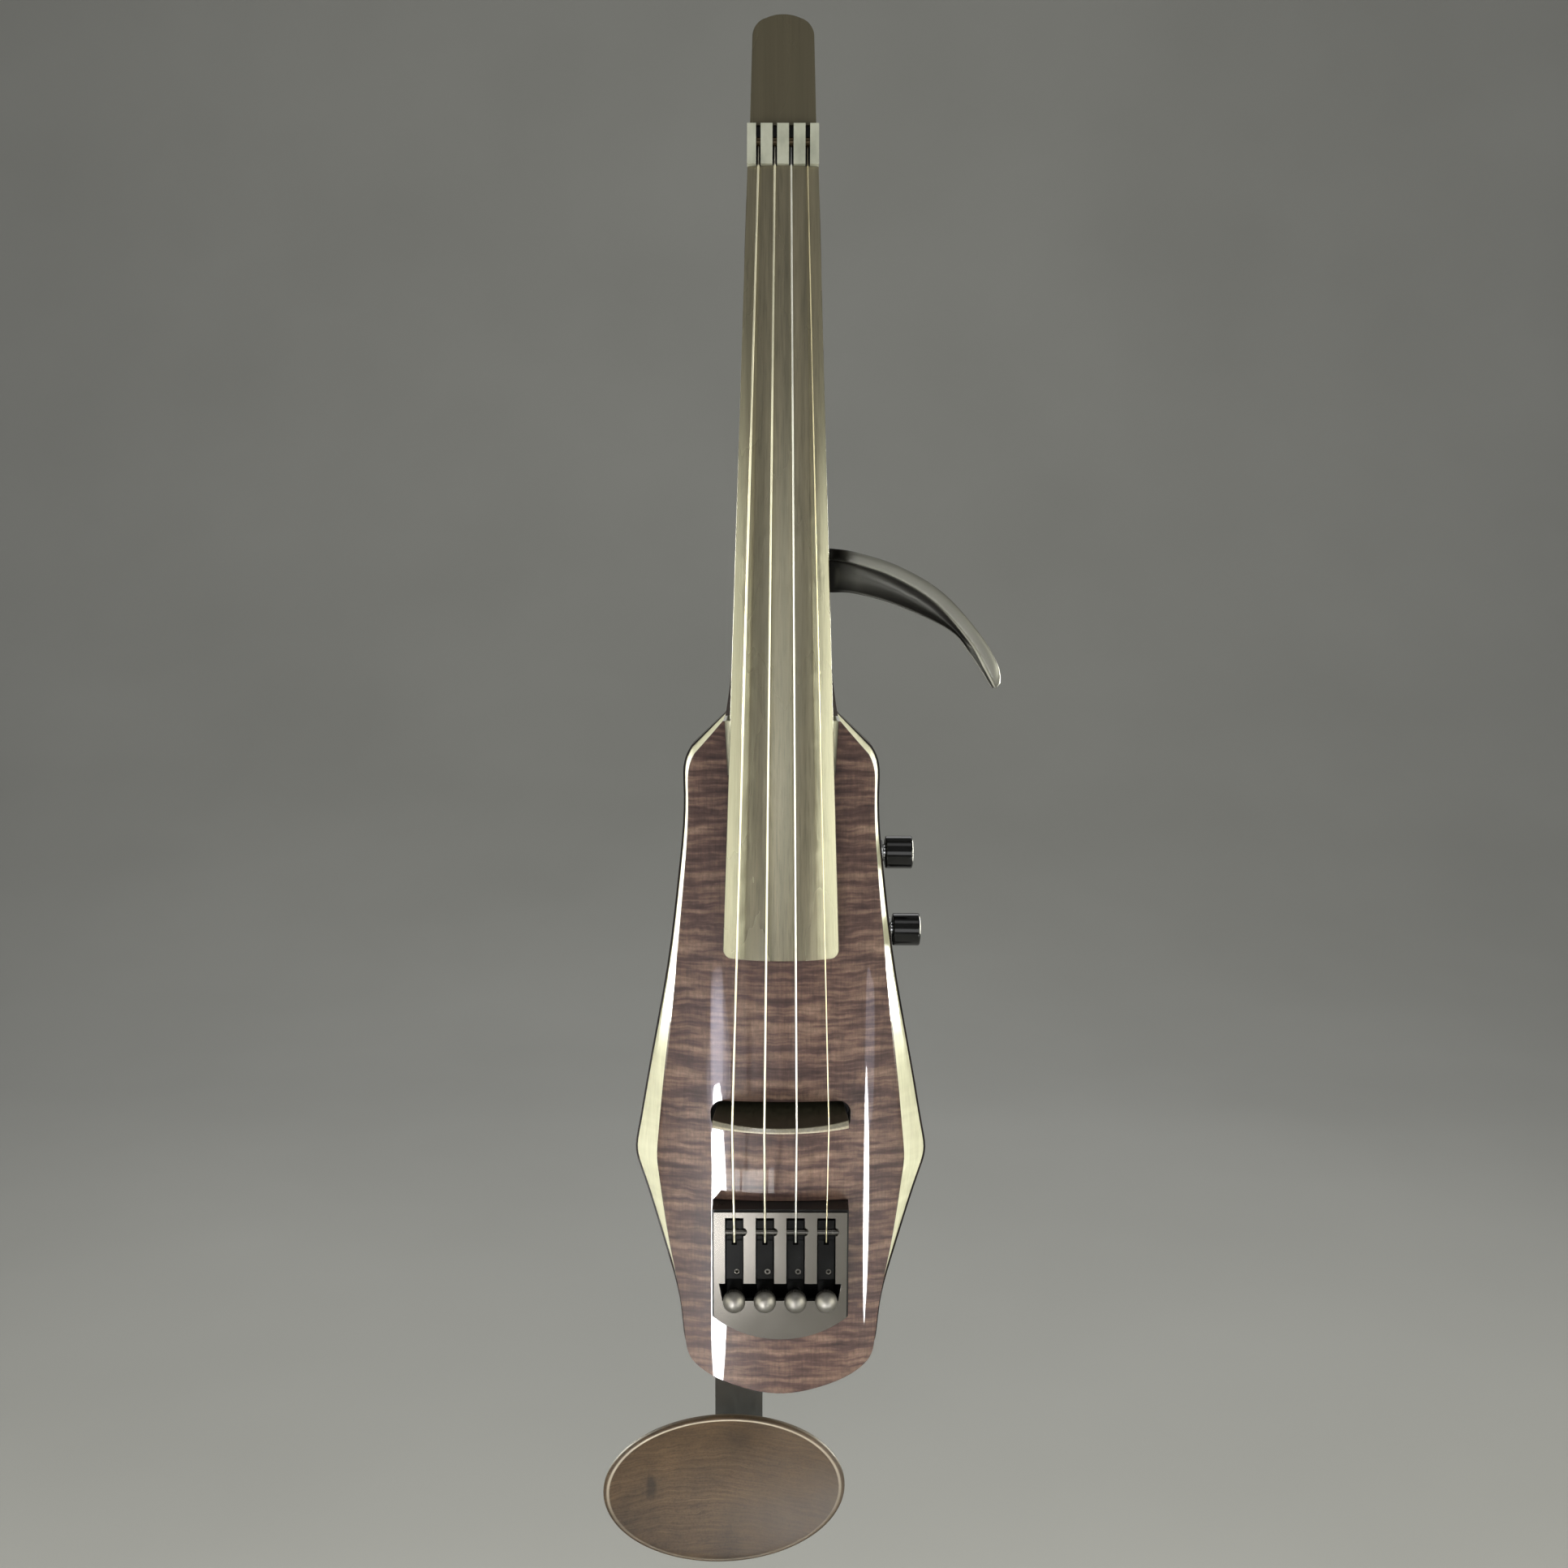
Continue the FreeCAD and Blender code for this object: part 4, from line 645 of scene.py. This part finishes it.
def arm_ring(u):
    """Cross-section of the arm at share u: rounded front rim, scooped web and flat back."""
    outer, inner, lower = (spline(line, u) for line in (ARM_OUTER, ARM_INNER, ARM_LOWER))
    rise = min(1.0, u / ARM_END)
    rise = rise * rise * (3 - 2 * rise)
    tip = max(0.0, (u - (1.0 - ARM_END)) / ARM_END)
    front = -2.2 - 3.7 * rise + 3.5 * tip ** 2
    rim_y = front + ARM_CROWN
    web = ARM_WEB_Y + 1.2 * tip
    hollow = min(1.0, max(0.0, (u - 0.03) / 0.75))
    scoop = ARM_SCOOP * max(0.0, math.sin(math.pi * hollow)) ** 0.6
    ring = []

    def add(p, q, t, y):
        ring.append((p[0] + (q[0] - p[0]) * t, y, p[1] + (q[1] - p[1]) * t))

    for y in (ARM_BACK_Y - 0.9, ARM_BACK_Y - 4, rim_y + 2.5, rim_y + 0.6):
        add(outer, inner, 0, y)
    for k in range(1, 12):
        a = math.pi * k / 12
        add(outer, inner, (1 - math.cos(a)) / 2, front + ARM_CROWN * (1 - math.sin(a) ** 0.55))
    for share in (0.0, 0.5, 0.85):
        add(inner, lower, 0.0, rim_y + (web - rim_y) * share)
    for k in range(15):
        share = k / 14
        add(inner, lower, 0.02 + 0.94 * share, web + scoop * math.sin(math.pi * share) ** 0.7)
    add(inner, lower, 0.985, web + 0.35)
    add(inner, lower, 1.0, web + 0.9)
    for y in (ARM_BACK_Y - 1.4, ARM_BACK_Y - 0.7):
        add(inner, lower, 1.0, y)
    for share in (0.93, 0.4):
        add(inner, lower, share, ARM_BACK_Y)
    for share in (0.9, 0.25):
        add(outer, inner, share, ARM_BACK_Y)
    return ring


def hand_arm():
    """The playing arm: one smooth moulding from its root in the neck to its tip."""
    rings = [arm_ring(k / ARM_STEPS) for k in range(ARM_STEPS + 1)]
    root = [(ARM_ROOT_X, y, z) for _, y, z in rings[0]]
    arm = skin("hand_rest_arm", [root] + rings)
    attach(arm, "instrument")
    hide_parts("hand_rest")
    return arm


def plate_profile():
    """(share of the radius, y) from the middle of the dish over the rim to the middle of the underside."""
    top = [(0.02, -19.05)]
    for k in range(1, 25):
        share = k / 24
        top.append((DISH_RIM * share, DISH_MIDDLE_Y - DISH_RISE * share ** 2.1))
    rim = [(0.940, -23.62), (0.950, -23.80), (0.962, -23.88), (0.974, -23.86), (0.986, -23.66),
           (0.994, -23.30), (0.999, -22.7), (1.0, -22.0), (0.998, -21.4), (0.990, -20.7)]
    under = [(0.97, -19.9), (0.93, -18.6), (0.88, -17.4), (0.82, -16.2), (0.75, -15.0), (0.67, -14.0),
             (0.60, -13.35), (0.53, -13.05), (0.45, -13.0), (0.2, -13.0), (0.02, -13.0)]
    return top + rim + under


def chin_plate():
    """Dished oval plate with a rounded rim."""
    turn = math.radians(PLATE["turn"])
    rings = []
    for r, y in plate_profile():
        ring = []
        for k in range(PLATE_SIDES):
            t = 2 * math.pi * k / PLATE_SIDES
            x = PLATE["a"] * r * math.cos(t)
            z = PLATE["b"] * r * math.sin(t)
            ring.append((PLATE["x"] + x * math.cos(turn) - z * math.sin(turn), y,
                         PLATE["z"] + x * math.sin(turn) + z * math.cos(turn)))
        rings.append(ring)
    plate = skin("chin_rest_dish", rings)
    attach(plate, "chin_rest")
    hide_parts("chin_rest_plate")
    return plate


# ---------------------------------------------------------------- stage
def floor():
    """Pale floor that sweeps up behind the object."""
    low = cad_box[0][2] - FLOOR_GAP
    profile = [(FLOOR_FRONT_Y, 0.0), (SWEEP_START_Y, 0.0)]
    for k in range(1, SWEEP_STEPS + 1):
        angle = math.pi / 2 * k / SWEEP_STEPS
        profile.append((SWEEP_START_Y + SWEEP_R * math.sin(angle), SWEEP_R - SWEEP_R * math.cos(angle)))
    profile.append((SWEEP_START_Y + SWEEP_R, WALL_TOP))
    mesh = bmesh.new()
    rows = [[mesh.verts.new((x, y, low + z)) for y, z in profile] for x in (-FLOOR_HALF, FLOOR_HALF)]
    for k in range(len(profile) - 1):
        mesh.faces.new((rows[0][k], rows[1][k], rows[1][k + 1], rows[0][k + 1]))
    data = bpy.data.meshes.new("floor")
    mesh.to_mesh(data)
    mesh.free()
    data.shade_smooth()
    sweep = bpy.data.objects.new("floor", data)
    bpy.context.scene.collection.objects.link(sweep)
    s = Shader("pale_floor")
    speck = s.noise(s.coords((3, 3, 3)), 3, 0.5)
    s.feed("Base Color", s.ramp(speck, [(0.3, (0.52, 0.52, 0.50)), (0.7, (0.56, 0.56, 0.54))]))
    s.set(Roughness=0.85)
    data.materials.append(s.material)


def area_light(name, place, target, size, glow, color=WHITE, shape="RECTANGLE", beam=180):
    """Light with a given glow per area and beam angle, aimed at a point and unseen by the camera."""
    data = bpy.data.lights.new(name, "AREA")
    data.shape = shape
    data.size, data.size_y = size
    data.energy = glow * math.pi * size[0] * size[1]
    data.color = color
    data.spread = math.radians(beam)
    lamp = bpy.data.objects.new(name, data)
    lamp.location = place
    lamp.visible_camera = False
    lamp.rotation_euler = (Vector(target) - Vector(place)).to_track_quat("-Z", "Y").to_euler()
    bpy.context.scene.collection.objects.link(lamp)


def mirrored(x, z, reach):
    """Where a ray from the camera goes after it meets the arched top at (x, z) millimetres."""
    rise = math.sqrt(TOP_R ** 2 - x * x)
    normal = Vector((x, -rise, 0)).normalized()
    point = Vector((x, TOP_CENTRE_Y - rise, z)) / MM
    ray = (point - CAMERA).normalized()
    ray -= 2 * ray.dot(normal) * normal
    return point, point + ray * reach


def gloss_strip(name, x, z, width, length, glow, color, beam=180):
    """A strip light seen as a highlight of that width and length (mm) on the top at (x, z)."""
    point, place = mirrored(x, z, STRIP_REACH)
    size = (width / TOP_R * 2.3 * STRIP_REACH, length / MM * (STRIP_REACH + CAMERA_REACH) / CAMERA_REACH)
    area_light(name, place, point, size, glow, color, "ELLIPSE", beam)


def gloss_haze(name, share):
    """A pair of faint wide strips beside the neck's end of the top; several make a soft edge."""
    tag = "_%d" % (10 * share)
    gloss_strip(name + "_left" + tag, -22.5, -262 + 22 * (1 - share), 11.0 * share, 80 * share, 2.4, LILAC)
    gloss_strip(name + "_right" + tag, 31.5, -252, 5.0 * share, 60 * share, 2.4, LILAC)


def world_light():
    """Even pale light from all round."""
    world = bpy.data.worlds.new("studio")
    world.use_nodes = True
    background = world.node_tree.nodes["Background"]
    background.inputs["Color"].default_value = (0.80, 0.81, 0.80, 1)
    background.inputs["Strength"].default_value = 0.26
    bpy.context.scene.world = world


def lights():
    """Soft boxes around the object, and strips that give the top its highlights."""
    world_light()
    area_light("left", (-0.85, -0.55, -0.20), MIDDLE, (0.66, 0.54), 5.1, WARM)
    area_light("right", (0.85, -0.55, -0.20), MIDDLE, (0.66, 0.54), 6.7, WARM)
    for name, x in (("rim_left", -0.62), ("rim_right", 0.62)):
        area_light(name, (x, 0.62, -0.20), (0, 0, -0.15), (0.26, 0.44), 4.2, WARM, beam=50)
    area_light("front", (0, -1.05, -0.15), MIDDLE, (0.50, 0.40), 2.0)
    area_light("plate_glow", (-0.090, -0.43, -0.486), (-0.02, -0.03, -0.325), (0.15, 0.06), 0.50, beam=50)
    area_light("above", (0, -0.6, 1.1), MIDDLE, (0.9, 0.5), 1.0)
    area_light("behind", (0.1, 0.9, 0.55), MIDDLE, (1.2, 0.6), 1.6)
    gloss_strip("strip_left", -22.6, -323, 7.0, 112, 6.4, WHITE, 60)
    gloss_strip("strip_right", 31.0, -305, 3.0, 90, 5.8, WHITE, 60)
    for share in (1.0, 0.8, 0.6, 0.4):
        gloss_haze("haze", share)


def camera():
    """Camera in front of the object, looking slightly down."""
    data = bpy.data.cameras.new("camera")
    data.sensor_width = SENSOR
    data.lens = LENS
    data.clip_start = 0.01
    cam = bpy.data.objects.new("camera", data)
    cam.location = CAMERA
    cam.rotation_euler = (math.radians(90 - CAMERA_DOWN), math.radians(CAMERA_ROLL), 0)
    bpy.context.scene.collection.objects.link(cam)
    bpy.context.scene.camera = cam


dress_wood()
dress_black()
dress_metal()
soften_edges()
hand_arm().data.materials.append(arm_finish())
chin_plate().data.materials.append(walnut())
floor()
lights()
camera()
bpy.context.scene.view_settings.view_transform = "Standard"

bpy.context.view_layer.update()
